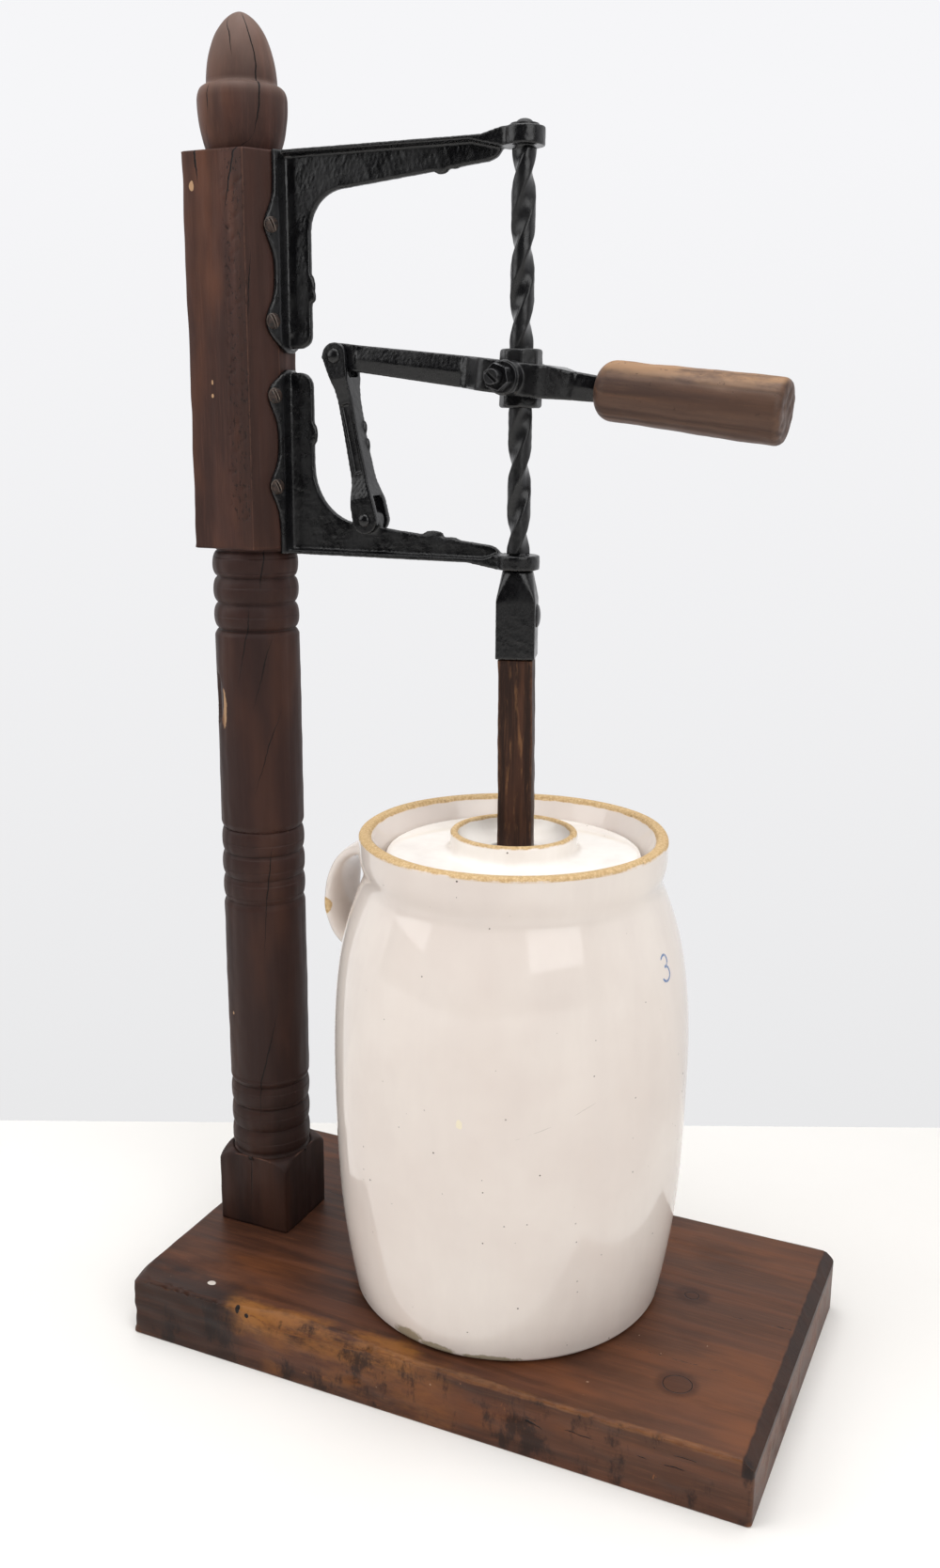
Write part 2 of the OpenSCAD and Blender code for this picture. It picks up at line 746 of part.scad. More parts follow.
module lever() {
    outer_side = loop_side + loop_bar;
    color(iron) at_lever() difference() {
        union() {
            intersection() {
                along_y(arm_w) lever_side();
                translate([-lever_arm, 0, 0]) along_x(lever_arm - loop_half - 2) arm_section(loop_h + 2);
            }
            intersection() {
                along_y(arm_w) lever_side();
                translate([loop_half + 2, 0, 0]) along_x(grip_out - loop_half - 2) arm_section(loop_h + 2);
            }
            intersection() {
                along_y(2 * outer_side) lever_side();
                translate([0, 0, -loop_h]) linear_extrude(2 * loop_h) loop_plan(loop_half + 6, outer_side, 12);
            }
            both_sides() cross_bar(boss_r, loop_side + 1, boss_out);
            tongue();
            translate([grip_out - 1, 0, -0.5]) rotate([0, 90, 0]) cylinder(d = tang_d, h = grip_len * 0.6);
        }
        translate([0, 0, -loop_h]) linear_extrude(2 * loop_h) loop_hole();
        both_sides() cross_bar(pivot_d / 2 + snug_fit, 0, boss_out + 1);
        translate([-lever_arm, 0, (slot_high - slot_low) / 2]) pin_slot();
    }
}

// Hole through the lever's loop, with cut corners
module loop_hole() {
    cut = 6;
    polygon([
        [loop_half, cut - loop_side], [loop_half, loop_side - cut], [loop_half - cut, loop_side],
        [cut - loop_half, loop_side], [-loop_half, loop_side - cut], [-loop_half, cut - loop_side],
        [cut - loop_half, -loop_side], [loop_half - cut, -loop_side]
    ]);
}

// Flat tongue with a rounded end that the link's fork takes
module tongue() {
    end_wall = 2.4;
    end_x = slot_out + pin_d / 2 + end_wall - arm_end_h / 2;
    translate([-lever_arm - end_x, 0, 0]) {
        cross_bar(arm_end_h / 2, -tongue_w / 2, tongue_w / 2);
        translate([0, -tongue_w / 2, -arm_end_h / 2]) cube([end_x + tongue_end + 1, tongue_w, arm_end_h]);
    }
}

// Slot along the tongue that lets the link's pin keep to its own arc
module pin_slot() {
    radius = (pin_d + slot_low + slot_high) / 2;
    near = slot_in + pin_d / 2 - radius;
    far = slot_out + pin_d / 2 - radius;
    for (x = [-far, near]) translate([x, 0, 0]) cross_bar(radius, -tongue_w, tongue_w);
    translate([-far, -tongue_w, -radius]) cube([far + near, 2 * tongue_w, 2 * radius]);
}

// Turned grip, rounded at the near end and cut flat at the far end
module lever_grip() {
    near_r = grip_near_d / 2;
    far_r = grip_far_d / 2;
    round_len = 14;
    edge = 4;
    color(grip_wood) at_lever() translate([grip_out, 0, -0.5]) rotate([0, 90, 0]) difference() {
        rotate_extrude() polygon(concat(
            [[0, 0]],
            oval([near_r - round_len, round_len], [round_len, round_len], -90, 0),
            arc([far_r - edge, grip_len - edge], edge, 0, 90, 6),
            [[0, grip_len]]
        ));
        translate([0, 0, -1]) cylinder(d = tang_d + 2 * snug_fit, h = grip_len * 0.6 + 2);
    }
}

module pivot_screws() {
    screw_out = boss_out + washer_t + lock_nut_t + 8;
    slot_w = 1.6;
    slot_h = 2;
    color(steel) at_lever() both_sides() difference() {
        union() {
            cross_bar(tip_d / 2, sleeve_w / 2 - tip_depth + loose_gap, loop_side + 1);
            cross_bar(pivot_d / 2, loop_side - 0.5, screw_out);
        }
        translate([0, screw_out, 0]) rotate([0, 35, 0]) cube([2 * pivot_d, 2 * slot_h, slot_w], center = true);
    }
}

module pivot_lock_nuts() {
    color(iron) at_lever() both_sides() difference() {
        translate([0, boss_out + washer_t, 0]) rotate([-90, 12, 0])
            cylinder(d = lock_nut_w / cos(30), h = lock_nut_t, $fn = 6);
        cross_bar(pivot_d / 2 + snug_fit, boss_out, boss_out + washer_t + lock_nut_t + 1);
    }
}

module pivot_washers() {
    color(iron) at_lever() both_sides() difference() {
        cross_bar(boss_r - 1, boss_out, boss_out + washer_t);
        cross_bar(pivot_d / 2 + snug_fit, boss_out - 1, boss_out + washer_t + 1);
    }
}

// Places a shape drawn up along the link, with the lower pin at its origin
module at_link() {
    translate(foot_pin) rotate([0, -link_lean, 0]) children();
}

// The link: round ears at both pins and a slim shank, with a shoulder above the lower fork
module link() {
    waist_w = shank_w - 1.5;
    foot_ear_r = ear_r + 0.6;
    shoulder_z = 25;
    top_neck = link_len - 21;
    color(iron) at_link() difference() {
        intersection() {
            along_y(fork_w) {
                circle(r = foot_ear_r);
                translate([0, link_len]) circle(r = ear_r);
                polygon([
                    [-foot_ear_r, 0], [foot_ear_r, 0], [foot_ear_r - 0.6, 12], [ear_r - 1.8, shoulder_z - 4],
                    [shank_w / 2 + 0.4, shoulder_z], [waist_w / 2, link_len / 2], [shank_w / 2, top_neck],
                    [ear_r - 1, link_len - 7], [ear_r, link_len], [-ear_r, link_len], [-ear_r + 1, link_len - 7],
                    [1 - shank_w / 2, top_neck], [-waist_w / 2, link_len / 2], [-shank_w / 2, shoulder_z],
                    [-ear_r + 1.8, shoulder_z - 4], [-foot_ear_r + 0.6, 12]
                ]);
            }
            translate([-foot_ear_r - 1, 0, 0]) along_x(2 * foot_ear_r + 2) link_side();
        }
        for (z = [0, link_len]) translate([0, 0, z]) cross_bar(pin_d / 2 + run_fit, -fork_w, fork_w);
        both_sides() link_panel();
    }
}

// Edge view of the link: two forks and a slimmer shank
module link_side() {
    half = fork_w / 2;
    neck = 30;
    difference() {
        polygon([
            [-half, -2 * ear_r], [half, -2 * ear_r], [half, fork_depth], [shank_t / 2, neck],
            [shank_t / 2, link_len - neck], [half, link_len - fork_depth], [half, link_len + 2 * ear_r],
            [-half, link_len + 2 * ear_r], [-half, link_len - fork_depth], [-shank_t / 2, link_len - neck],
            [-shank_t / 2, neck], [-half, fork_depth]
        ]);
        for (z = [-fork_depth, link_len - fork_depth]) translate([-fork_gap / 2, z]) square([fork_gap, 2 * fork_depth]);
    }
}

// Sunk panel along one face of the shank, which leaves a rib on each edge
module link_panel() {
    sunk = 2;
    edge = 3;
    translate([0, shank_t / 2, link_len / 2]) cube([shank_w - 2 * edge, 2 * sunk, link_len - 64], center = true);
}

// Riveted pin with a low round head at each end
module link_pin(head_r) {
    head_t = 2.6;
    cross_bar(pin_d / 2, -fork_w / 2 - eps, fork_w / 2 + eps);
    both_sides() translate([0, fork_w / 2, 0]) rotate([-90, 0, 0]) rotate_extrude($fn = 40)
        polygon(concat([[0, 0]], oval([0, 0], [head_r, head_t], 0, 90, 6)));
}

module link_upper_pin() {
    color(steel) at_link() translate([0, 0, link_len]) link_pin(5.2);
}

module link_lower_pin() {
    color(steel) at_link() link_pin(4.6);
}

// Places a shape turned with the dasher's rod
module at_rod() {
    rotate(rod_turn) children();
}

// The socket: a round top that flares into a square box, open below for the rod
module rod_socket() {
    half = socket_w / 2;
    box_z1 = socket_z1 - socket_neck_h;
    color(iron) at_rod() difference() {
        union() {
            hull() {
                translate([0, 0, socket_z1 - 2]) cylinder(r = socket_top_r, h = 2, $fn = 32);
                translate([-half, -half, box_z1 - 1]) cube([socket_w, socket_w, 1]);
            }
            translate([-half, -half, socket_z0]) cube([socket_w, socket_w, box_z1 - socket_z0]);
        }
        translate([0, 0, socket_z1 - shank_depth - 1]) cylinder(d = journal_d + 2 * snug_fit, h = shank_depth + 2);
        translate([-rod_w / 2 - snug_fit, -rod_w / 2 - snug_fit, socket_z0 - 1])
            cube([rod_w + 2 * snug_fit, rod_w + 2 * snug_fit, rod_top + snug_fit - socket_z0 + 1]);
        at_bolt() bolt_hole();
    }
}

// Places a shape drawn out along the bolt, with the socket's side at its origin
module at_bolt() {
    translate([socket_w / 2, 0, bolt_z]) rotate([0, 90, 0]) children();
}

module bolt_hole() {
    translate([0, 0, -bolt_len]) cylinder(d = bolt_d + 2 * snug_fit, h = bolt_len + 1);
}

// Round-headed bolt screwed through the socket's side into the rod
module socket_bolt() {
    head_t = 2.6;
    tip_gap = 0.5;
    color(iron) at_rod() at_bolt() {
        translate([0, 0, tip_gap - bolt_len]) cylinder(d = bolt_d, h = bolt_len - tip_gap + eps);
        rotate_extrude() polygon(concat([[0, 0]], oval([0, 0], [bolt_head_d / 2, head_t], 0, 90, 8)));
    }
}

// The square rod swells a little from the socket to its foot
module dasher_rod() {
    head = rod_w / 2;
    neck = rod_neck_w / 2;
    foot = rod_foot_w / 2;
    shoulder_z = socket_z0 - loose_gap;
    side = [
        [-foot, rod_z0], [foot, rod_z0], [neck, shoulder_z], [head, shoulder_z],
        [head, rod_top], [-head, rod_top], [-head, shoulder_z], [-neck, shoulder_z]
    ];
    color(rod_wood) at_rod() difference() {
        intersection() {
            along_y(rod_foot_w) polygon(side);
            translate([-rod_foot_w / 2, 0, 0]) along_x(rod_foot_w) polygon(side);
        }
        at_bolt() bolt_hole();
        for (i = [0, 1]) at_blade(i) {
            translate([-rod_foot_w, -blade_t / 2 - snug_fit, -snug_fit])
                cube([2 * rod_foot_w, blade_t + 2 * snug_fit, blade_h + 2 * snug_fit]);
            translate([0, 0, blade_h / 2]) cross_bar(peg_d / 2 + snug_fit, -rod_foot_w, rod_foot_w);
        }
    }
}

// The two blades cross the rod one above the other, the upper one turned by a right angle
module at_blade(i) {
    translate([0, 0, blade_z[i]]) rotate(90 * i) children();
}

// Board with rounded ends, three holes on each side and a peg hole in the middle
module dasher_blade(i) {
    end_r = blade_h / 2 - 4;
    hole_d = 14;
    color(grip_wood) at_rod() at_blade(i) difference() {
        intersection() {
            translate([-blade_len / 2, -blade_t / 2, 0]) cube([blade_len, blade_t, blade_h]);
            union() {
                translate([-blade_len / 2 + end_r, -blade_t, 0]) cube([blade_len - 2 * end_r, 2 * blade_t, blade_h]);
                for (s = [-1, 1], z = [end_r, blade_h - end_r])
                    translate([s * (blade_len / 2 - end_r), 0, z]) cross_bar(end_r, -blade_t, blade_t);
            }
        }
        for (s = [-1, 1], k = [0, 1])
            translate([s * (blade_len * 0.2 + k * hole_d * 1.6), 0, blade_h / 2]) cross_bar(hole_d / 2, -blade_t, blade_t);
        translate([0, 0, blade_h / 2]) cross_bar(peg_d / 2 + snug_fit, -blade_t, blade_t);
    }
}

module dasher_blade_lower() {
    dasher_blade(0);
}

module dasher_blade_upper() {
    dasher_blade(1);
}

module dasher_pegs() {
    color(rod_wood) at_rod() for (i = [0, 1]) at_blade(i)
        translate([0, 0, blade_h / 2]) cross_bar(peg_d / 2, -rod_foot_w / 2 - 1, rod_foot_w / 2 + 1);
}

// Radius of the crock's outside at a height above its foot
function crock_r(h) = h < belly_h
    ? belly_r - (belly_r - crock_foot_r) * pow((belly_h - h) / belly_h, swell)
    : belly_r - (belly_r - neck_r) * pow((h - belly_h) / (neck_h - belly_h), shoulder_swell);

wall_steps = 26;
rim_steps = 4;
foot_round = 7;
inner_round = [14, 12];
inner_foot_h = crock_floor + inner_round[1];
bottom_r = crock_r(inner_foot_h) - crock_wall - inner_round[0];
ledge_edge_h = 22;
ledge_slope = 0.9;
rim_split_h = 16;
rim_lip = 2.5;
ledge_lead_h = 7;
under_ledge = ledge_z - ledge_edge_h;
rim_z0 = under_ledge - rim_split_h;
band_ease = 14;

// Radius of the crock's inside, which closes in under the ledge
function crock_in_r(h) = min(crock_r(h) - crock_wall, ledge_in_r + (under_ledge - h) * ledge_slope);

// Points on one side of the wall between two heights, in radius and height
function wall_out(from, to, steps) = [for (i = [0:steps]) let (h = from + (to - from) * i / steps) [crock_r(h), h]];

function wall_in(from, to, steps) = [for (i = [0:steps]) let (h = from + (to - from) * i / steps) [crock_in_r(h), h]];

// The crock's wall with its foot
module crock() {
    color(stoneware) translate([0, 0, plank_t]) rotate_extrude($fn = 96) polygon(concat(
        [[bottom_r, 0]],
        oval([crock_r(foot_round) - foot_round, foot_round], [foot_round, foot_round], -90, -10, 6),
        wall_out(foot_round, rim_z0, wall_steps),
        wall_in(rim_z0, inner_foot_h, wall_steps),
        oval([bottom_r, inner_foot_h], inner_round, 0, -90, 5)
    ));
}

// The rim band on top of the wall, with the ledge for the lid
module crock_rim() {
    color(stoneware) translate([0, 0, plank_t]) rotate_extrude($fn = 96) polygon(concat(
        wall_out(rim_z0, neck_h, rim_steps),
        [[rim_r, neck_h + band_ease]],
        arc([rim_r - rim_lip, crock_h - rim_lip], rim_lip, 0, 90, 4),
        [[rim_in_r, crock_h], [ledge_wall_r, ledge_z + ledge_lead_h], [ledge_wall_r, ledge_z], [ledge_in_r, ledge_z]],
        wall_in(under_ledge, rim_z0, rim_steps)
    ));
}

// The crock's bottom inside the foot
module crock_bottom() {
    color(stoneware) translate([0, 0, plank_t]) cylinder(r = bottom_r, h = crock_floor, $fn = 96);
}

// Strap handle bent in a half round, with both ends shaped to the wall below the rim band
module crock_handle() {
    middle = handle_r - handle_t / 2;
    color(stoneware) translate([0, 0, plank_t]) difference() {
        translate([handle_x, 0, handle_z]) rotate([90, 0, 0]) rotate_extrude() translate([middle, 0]) {
            square([handle_t, handle_w - handle_t], center = true);
            for (s = [-1, 1]) translate([0, s * (handle_w - handle_t) / 2]) circle(d = handle_t, $fn = 24);
        }
        rotate_extrude($fn = 96) polygon(concat(
            [[0, -1]],
            wall_out(foot_round, rim_z0, wall_steps),
            wall_out(rim_z0, neck_h, rim_steps),
            [[rim_r, neck_h + band_ease], [rim_r, crock_h + 1], [0, crock_h + 1]]
        ));
        translate([0, -belly_r, -1]) cube([2 * belly_r, 2 * belly_r, 2 * crock_h]);
    }
}

// The lid: a flat disc with a raised collar that is dished down to the rod's hole
module crock_lid() {
    edge = 3;
    color(stoneware) translate([0, 0, lid_z]) rotate_extrude($fn = 96) polygon(concat(
        [[lid_hole_r, 0], [lid_r - edge, 0], [lid_r, edge]],
        arc([lid_r - edge, lid_t - edge], edge, 0, 90, 4),
        arc([collar_r + 4, lid_t + 4], 4, -90, -180, 5),
        arc([collar_r - 2, lid_t + collar_h - 2], 2, 0, 90, 4),
        [[collar_r - collar_top_w, lid_t + collar_h]],
        oval([lid_hole_r + 4, lid_t + collar_h], [collar_r - collar_top_w - lid_hole_r - 4, collar_h], 0, -80, 8),
        [[lid_hole_r, lid_t]]
    ));
}

base_plank();
post();
post_lag_screws();
upper_bracket();
lower_bracket();
upper_bracket_screws();
lower_bracket_screws();
spiral_shaft();
shaft_washer();
sleeve_nut();
lever();
lever_grip();
pivot_screws();
pivot_lock_nuts();
pivot_washers();
link();
link_upper_pin();
link_lower_pin();
rod_socket();
socket_bolt();
dasher_rod();
dasher_blade_upper();
dasher_blade_lower();
dasher_pegs();
crock();
crock_bottom();
crock_rim();
crock_handle();
crock_lid();
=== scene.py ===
import math

import bmesh
import bpy
import numpy as np
from mathutils import Matrix, Vector


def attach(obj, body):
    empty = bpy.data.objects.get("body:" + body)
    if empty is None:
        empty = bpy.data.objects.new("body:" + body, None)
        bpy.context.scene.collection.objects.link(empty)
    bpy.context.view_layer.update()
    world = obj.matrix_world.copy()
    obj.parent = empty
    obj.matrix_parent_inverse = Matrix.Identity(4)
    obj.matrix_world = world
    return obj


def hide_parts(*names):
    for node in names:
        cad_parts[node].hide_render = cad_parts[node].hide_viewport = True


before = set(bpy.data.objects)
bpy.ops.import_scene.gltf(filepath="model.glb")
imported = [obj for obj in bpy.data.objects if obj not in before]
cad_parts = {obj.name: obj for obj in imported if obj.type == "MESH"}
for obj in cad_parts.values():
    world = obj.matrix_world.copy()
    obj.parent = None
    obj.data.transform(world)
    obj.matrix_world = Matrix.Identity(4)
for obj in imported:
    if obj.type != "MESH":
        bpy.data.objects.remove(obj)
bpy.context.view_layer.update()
mm = 0.001


# Meshes

def meshObject(name, verts, faces, smooth=True):
    # faces is a list of integer arrays, one row per face; a closed shell gets its faces pointing outwards
    tris = np.concatenate([np.concatenate([f[:, [0, i, i + 1]] for i in range(1, f.shape[1] - 1)]) for f in faces])
    a, b, c = (verts[tris[:, i]] for i in range(3))
    if np.einsum("ij,ij->", a, np.cross(b, c)) < 0:
        faces = [f[:, ::-1] for f in faces]
    mesh = bpy.data.meshes.new(name)
    mesh.vertices.add(len(verts))
    mesh.vertices.foreach_set("co", verts.astype(np.float32).ravel())
    counts = np.concatenate([np.full(len(f), f.shape[1]) for f in faces])
    mesh.loops.add(int(counts.sum()))
    mesh.loops.foreach_set("vertex_index", np.concatenate([f.ravel() for f in faces]).astype(np.int32))
    mesh.polygons.add(len(counts))
    mesh.polygons.foreach_set("loop_start", np.concatenate([[0], np.cumsum(counts)[:-1]]).astype(np.int32))
    mesh.update(calc_edges=True)
    mesh.validate()
    if smooth:
        mesh.shade_smooth()
    made = bpy.data.objects.new(name, mesh)
    bpy.context.scene.collection.objects.link(made)
    return made


def skin(name, grid, wrapRows=False, capEnds=True, smooth=True):
    # Surface through grid[row, column]: columns run round and close, rows run along, and an open end is closed by a fan
    rows, cols = grid.shape[:2]
    verts = grid.reshape(-1, 3)
    index = np.arange(rows * cols).reshape(rows, cols)
    below = index if wrapRows else index[:-1]
    above = np.roll(index, -1, axis=0) if wrapRows else index[1:]
    quads = np.stack([below, np.roll(below, -1, axis=1), np.roll(above, -1, axis=1), above], axis=-1).reshape(-1, 4)
    faces = [quads]
    if capEnds and not wrapRows:
        verts = np.vstack([verts, grid[0].mean(axis=0), grid[-1].mean(axis=0)])
        for end, (ring, turned) in enumerate([(index[0], True), (index[-1], False)]):
            fan = np.stack([ring, np.roll(ring, -1), np.full(cols, rows * cols + end)], axis=-1)
            faces.append(fan[:, ::-1] if turned else fan)
    return meshObject(name, verts, faces, smooth)


def waves(points, size, seed, count=18):
    # Smooth random field near -1..1: the sum of sine waves with seeded directions, lengths and phases
    rng = np.random.default_rng(seed)
    ways = rng.normal(size=(count, 3))
    ways *= (rng.uniform(0.55, 1.7, count) * 2 * np.pi / size / np.linalg.norm(ways, axis=1))[:, None]
    return np.sin(points @ ways.T + rng.uniform(0, 2 * np.pi, count)).sum(axis=-1) / np.sqrt(count)


def fade(value, low, high):
    # 0 below low, 1 above high, and a smooth step between them
    t = np.clip((value - low) / (high - low), 0, 1)
    return t * t * (3 - 2 * t)


def around(count, extra=(), spread=0.02):
    # Angles round a ring, evenly spaced, with a close group at each extra angle
    groups = [np.asarray(extra)[:, None] + np.linspace(-spread, spread, 5)] if len(extra) else []
    every = np.concatenate([np.linspace(0, 2 * np.pi, count, endpoint=False)] + [g.ravel() % (2 * np.pi) for g in groups])
    return np.unique(np.round(every, 6))


def alongLevels(levels, step):
    # Rows along a list of (place, size...) stations: linear between stations and never further apart than step
    levels = np.asarray(levels, float)
    rows = [levels[:1]]
    for a, b in zip(levels[:-1], levels[1:]):
        count = max(1, int(np.ceil(np.abs(b[:2] - a[:2]).max() / step)))
        rows.append(a + (b - a) * (np.arange(1, count + 1) / count)[:, None])
    return np.concatenate(rows)


def edgesOf(mesh):
    ends = np.empty(len(mesh.edges) * 2, np.int32)
    mesh.edges.foreach_get("vertices", ends)
    return ends.reshape(-1, 2)


def pointsOf(mesh):
    points = np.empty(len(mesh.vertices) * 3, np.float32)
    mesh.vertices.foreach_get("co", points)
    return points.reshape(-1, 3).astype(float)


def normalsOf(mesh):
    normals = np.empty(len(mesh.vertices) * 3, np.float32)
    mesh.vertices.foreach_get("normal", normals)
    return normals.reshape(-1, 3).astype(float)


def neighbourMean(values, ends):
    # Mean of the values at the far ends of each point's edges
    total = np.zeros_like(values)
    share = np.zeros(len(values))
    for a, b in ((0, 1), (1, 0)):
        np.add.at(total, ends[:, a], values[ends[:, b]])
        np.add.at(share, ends[:, a], 1)
    return total / np.maximum(share, 1).reshape((-1,) + (1,) * (values.ndim - 1))


def setPoints(mesh, points):
    mesh.vertices.foreach_set("co", points.astype(np.float32).ravel())
    mesh.update()


def addLayer(mesh, name, values):
    layer = mesh.attributes.new(name, "FLOAT", "POINT")
    layer.data.foreach_set("value", values.astype(np.float32))


def markEdges(target, sharp=1000.0, passes=1):
    # Stores how sharply the surface bends at each point: 0.5 is flat, 1 an outer edge, 0 an inner corner.
    # An edge's bend is the difference of its end normals along it, over its length squared.
    mesh = target.data
    points, ends, normals = pointsOf(mesh), edgesOf(mesh), normalsOf(mesh)
    way = points[ends[:, 1]] - points[ends[:, 0]]
    bend = np.einsum("ij,ij->i", normals[ends[:, 1]] - normals[ends[:, 0]], way) / np.maximum(np.einsum("ij,ij->i", way, way), 1e-12)
    total, share = np.zeros(len(points)), np.zeros(len(points))
    for side in (0, 1):
        np.add.at(total, ends[:, side], bend)
        np.add.at(share, ends[:, side], 1)
    bend = total / np.maximum(share, 1)
    for _ in range(passes):
        bend = 0.5 * (bend + neighbourMean(bend, ends))
    addLayer(mesh, "relief", np.clip(0.5 + 0.5 * bend / sharp, 0, 1))


def joinAll(name, objects):
    verts, faces, start = [], [], 0
    for one in objects:
        points = pointsOf(one.data)
        verts.append(points)
        faces.extend([[v + start for v in p.vertices] for p in one.data.polygons])
        start += len(points)
        bpy.data.objects.remove(one)
    mesh = bpy.data.meshes.new(name)
    mesh.from_pydata(np.concatenate(verts).tolist(), [], faces)
    made = bpy.data.objects.new(name, mesh)
    bpy.context.scene.collection.objects.link(made)
    return made


def remeshed(name, sources, voxel):
    # One closed skin over the given objects, in cubes of the voxel's size
    whole = joinAll(name, sources)
    step = whole.modifiers.new("skin", "REMESH")
    step.mode, step.voxel_size = "VOXEL", voxel
    flat = bpy.data.meshes.new_from_object(whole.evaluated_get(bpy.context.evaluated_depsgraph_get()))
    whole.modifiers.clear()
    old, whole.data = whole.data, flat
    bpy.data.meshes.remove(old)
    flat.name = name
    return whole


def copyOf(node):
    # The CAD node's mesh with its loose triangles merged
    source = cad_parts[node]
    work = bmesh.new()
    work.from_mesh(source.data)
    bmesh.ops.remove_doubles(work, verts=work.verts, dist=1e-6)
    mesh = bpy.data.meshes.new(node + "Copy")
    work.to_mesh(mesh)
    work.free()
    made = bpy.data.objects.new(node + "Copy", mesh)
    bpy.context.scene.collection.objects.link(made)
    return made


def casting(name, node, body, finish, settings, extras=()):
    # A casting: the CAD shape with its extra lumps, skinned, softened at the edges and roughened like the sand it was cast in
    made = remeshed(name, [copyOf(node), *extras], settings["voxel"])
    mesh = made.data
    points, ends = pointsOf(mesh), edgesOf(mesh)
    for _ in range(settings["soften"]):
        points += 0.6 * (neighbourMean(points, ends) - points)
    setPoints(mesh, points)
    normals = normalsOf(mesh)
    rough = settings["rough"] * (waves(points, 4 * mm, 3) + 0.8 * waves(points, 9 * mm, 4) + 0.6 * waves(points, 2.2 * mm, 5))
    setPoints(mesh, points + normals * rough[:, None])
    mesh.shade_smooth()
    markEdges(made, 1300.0)
    return place(made, body, finish, settings["slot"], node)


def place(made, body, finish, slot, *nodes):
    made.data.materials.clear()
    made.data.materials.append(finish)
    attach(made, body)
    if nodes:
        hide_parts(*nodes)
    return made


# Shader helpers

def add(tree, kind, values=None, **settings):
    # A node with its settings, and its inputs by name or number: a socket is linked, anything else is set
    node = tree.nodes.new("ShaderNode" + kind)
    for key, value in settings.items():
        setattr(node, key, value)
    for key, value in (values or {}).items():
        socket = node.inputs[key]
        if isinstance(value, bpy.types.NodeSocket):
            tree.links.new(value, socket)
        else:
            socket.default_value = value
    return node


def math2(tree, operation, a, b=0.0, clamp=False):
    return add(tree, "Math", {0: a, 1: b}, operation=operation, use_clamp=clamp).outputs[0]


def span(tree, value, low, high, toLow=0.0, toHigh=1.0, smooth=True):
    # Carries low..high over to toLow..toHigh and holds it there
    kind = "SMOOTHSTEP" if smooth else "LINEAR"
    values = {"Value": value, "From Min": low, "From Max": high, "To Min": toLow, "To Max": toHigh}
    return add(tree, "MapRange", values, interpolation_type=kind, clamp=True).outputs[0]


def blend(tree, factor, a, b, mode="MIX"):
    node = add(tree, "Mix", {0: factor, 6: a, 7: b}, data_type="RGBA", blend_type=mode)
    return node.outputs[2]


def stretch(tree, vector, scale, turn=(0, 0, 0), shift=(0, 0, 0)):
    return add(tree, "Mapping", {"Vector": vector, "Scale": scale, "Rotation": turn, "Location": shift}).outputs[0]


def noise(tree, vector, scale, detail=4.0, roughness=0.55, distortion=0.0):
    values = {"Vector": vector, "Scale": scale, "Detail": detail, "Roughness": roughness, "Distortion": distortion}
    return add(tree, "TexNoise", values).outputs["Fac"]


def colour(hexCode):
    # A colour as it is written on screen, turned into linear values
    parts = np.array([int(hexCode[i:i + 2], 16) for i in (1, 3, 5)]) / 255
    linear = np.where(parts <= 0.04045, parts / 12.92, ((parts + 0.055) / 1.055) ** 2.4)
    return (*linear.tolist(), 1.0)


def makeGroup(name, inputs, outputs):
    tree = bpy.data.node_groups.new(name, "ShaderNodeTree")
    for label, kind, value in inputs:
        socket = tree.interface.new_socket(label, in_out="INPUT", socket_type="NodeSocket" + kind)
        if value is not None:
            socket.default_value = value
    for label, kind in outputs:
        tree.interface.new_socket(label, in_out="OUTPUT", socket_type="NodeSocket" + kind)
    return tree, tree.nodes.new("NodeGroupInput").outputs, tree.nodes.new("NodeGroupOutput").inputs


def useGroup(tree, group, values):
    node = tree.nodes.new("ShaderNodeGroup")
    node.node_tree = group
    for key, value in values.items():
        if isinstance(value, bpy.types.NodeSocket):
            tree.links.new(value, node.inputs[key])
        else:
            node.inputs[key].default_value = value
    return node.outputs


def startMaterial(name):
    made = bpy.data.materials.new(name)
    made.use_nodes = True
    tree = made.node_tree
    tree.nodes.clear()
    shader = tree.nodes.new("ShaderNodeBsdfPrincipled")
    tree.links.new(shader.outputs[0], tree.nodes.new("ShaderNodeOutputMaterial").inputs[0])
    return made, tree, shader, tree.nodes.new("ShaderNodeTexCoord").outputs["Object"]


def finishShader(tree, shader, colourSocket, roughness, height, strength, distance, **fixed):
    bump = add(tree, "Bump", {"Height": height, "Strength": strength, "Distance": distance})
    for key, value in (("Base Color", colourSocket), ("Roughness", roughness), ("Normal", bump.outputs[0])):
        if isinstance(value, bpy.types.NodeSocket):
            tree.links.new(value, shader.inputs[key])
        else:
            shader.inputs[key].default_value = value
    for key, value in fixed.items():
        shader.inputs[key.replace("_", " ")].default_value = value


# Shared effects

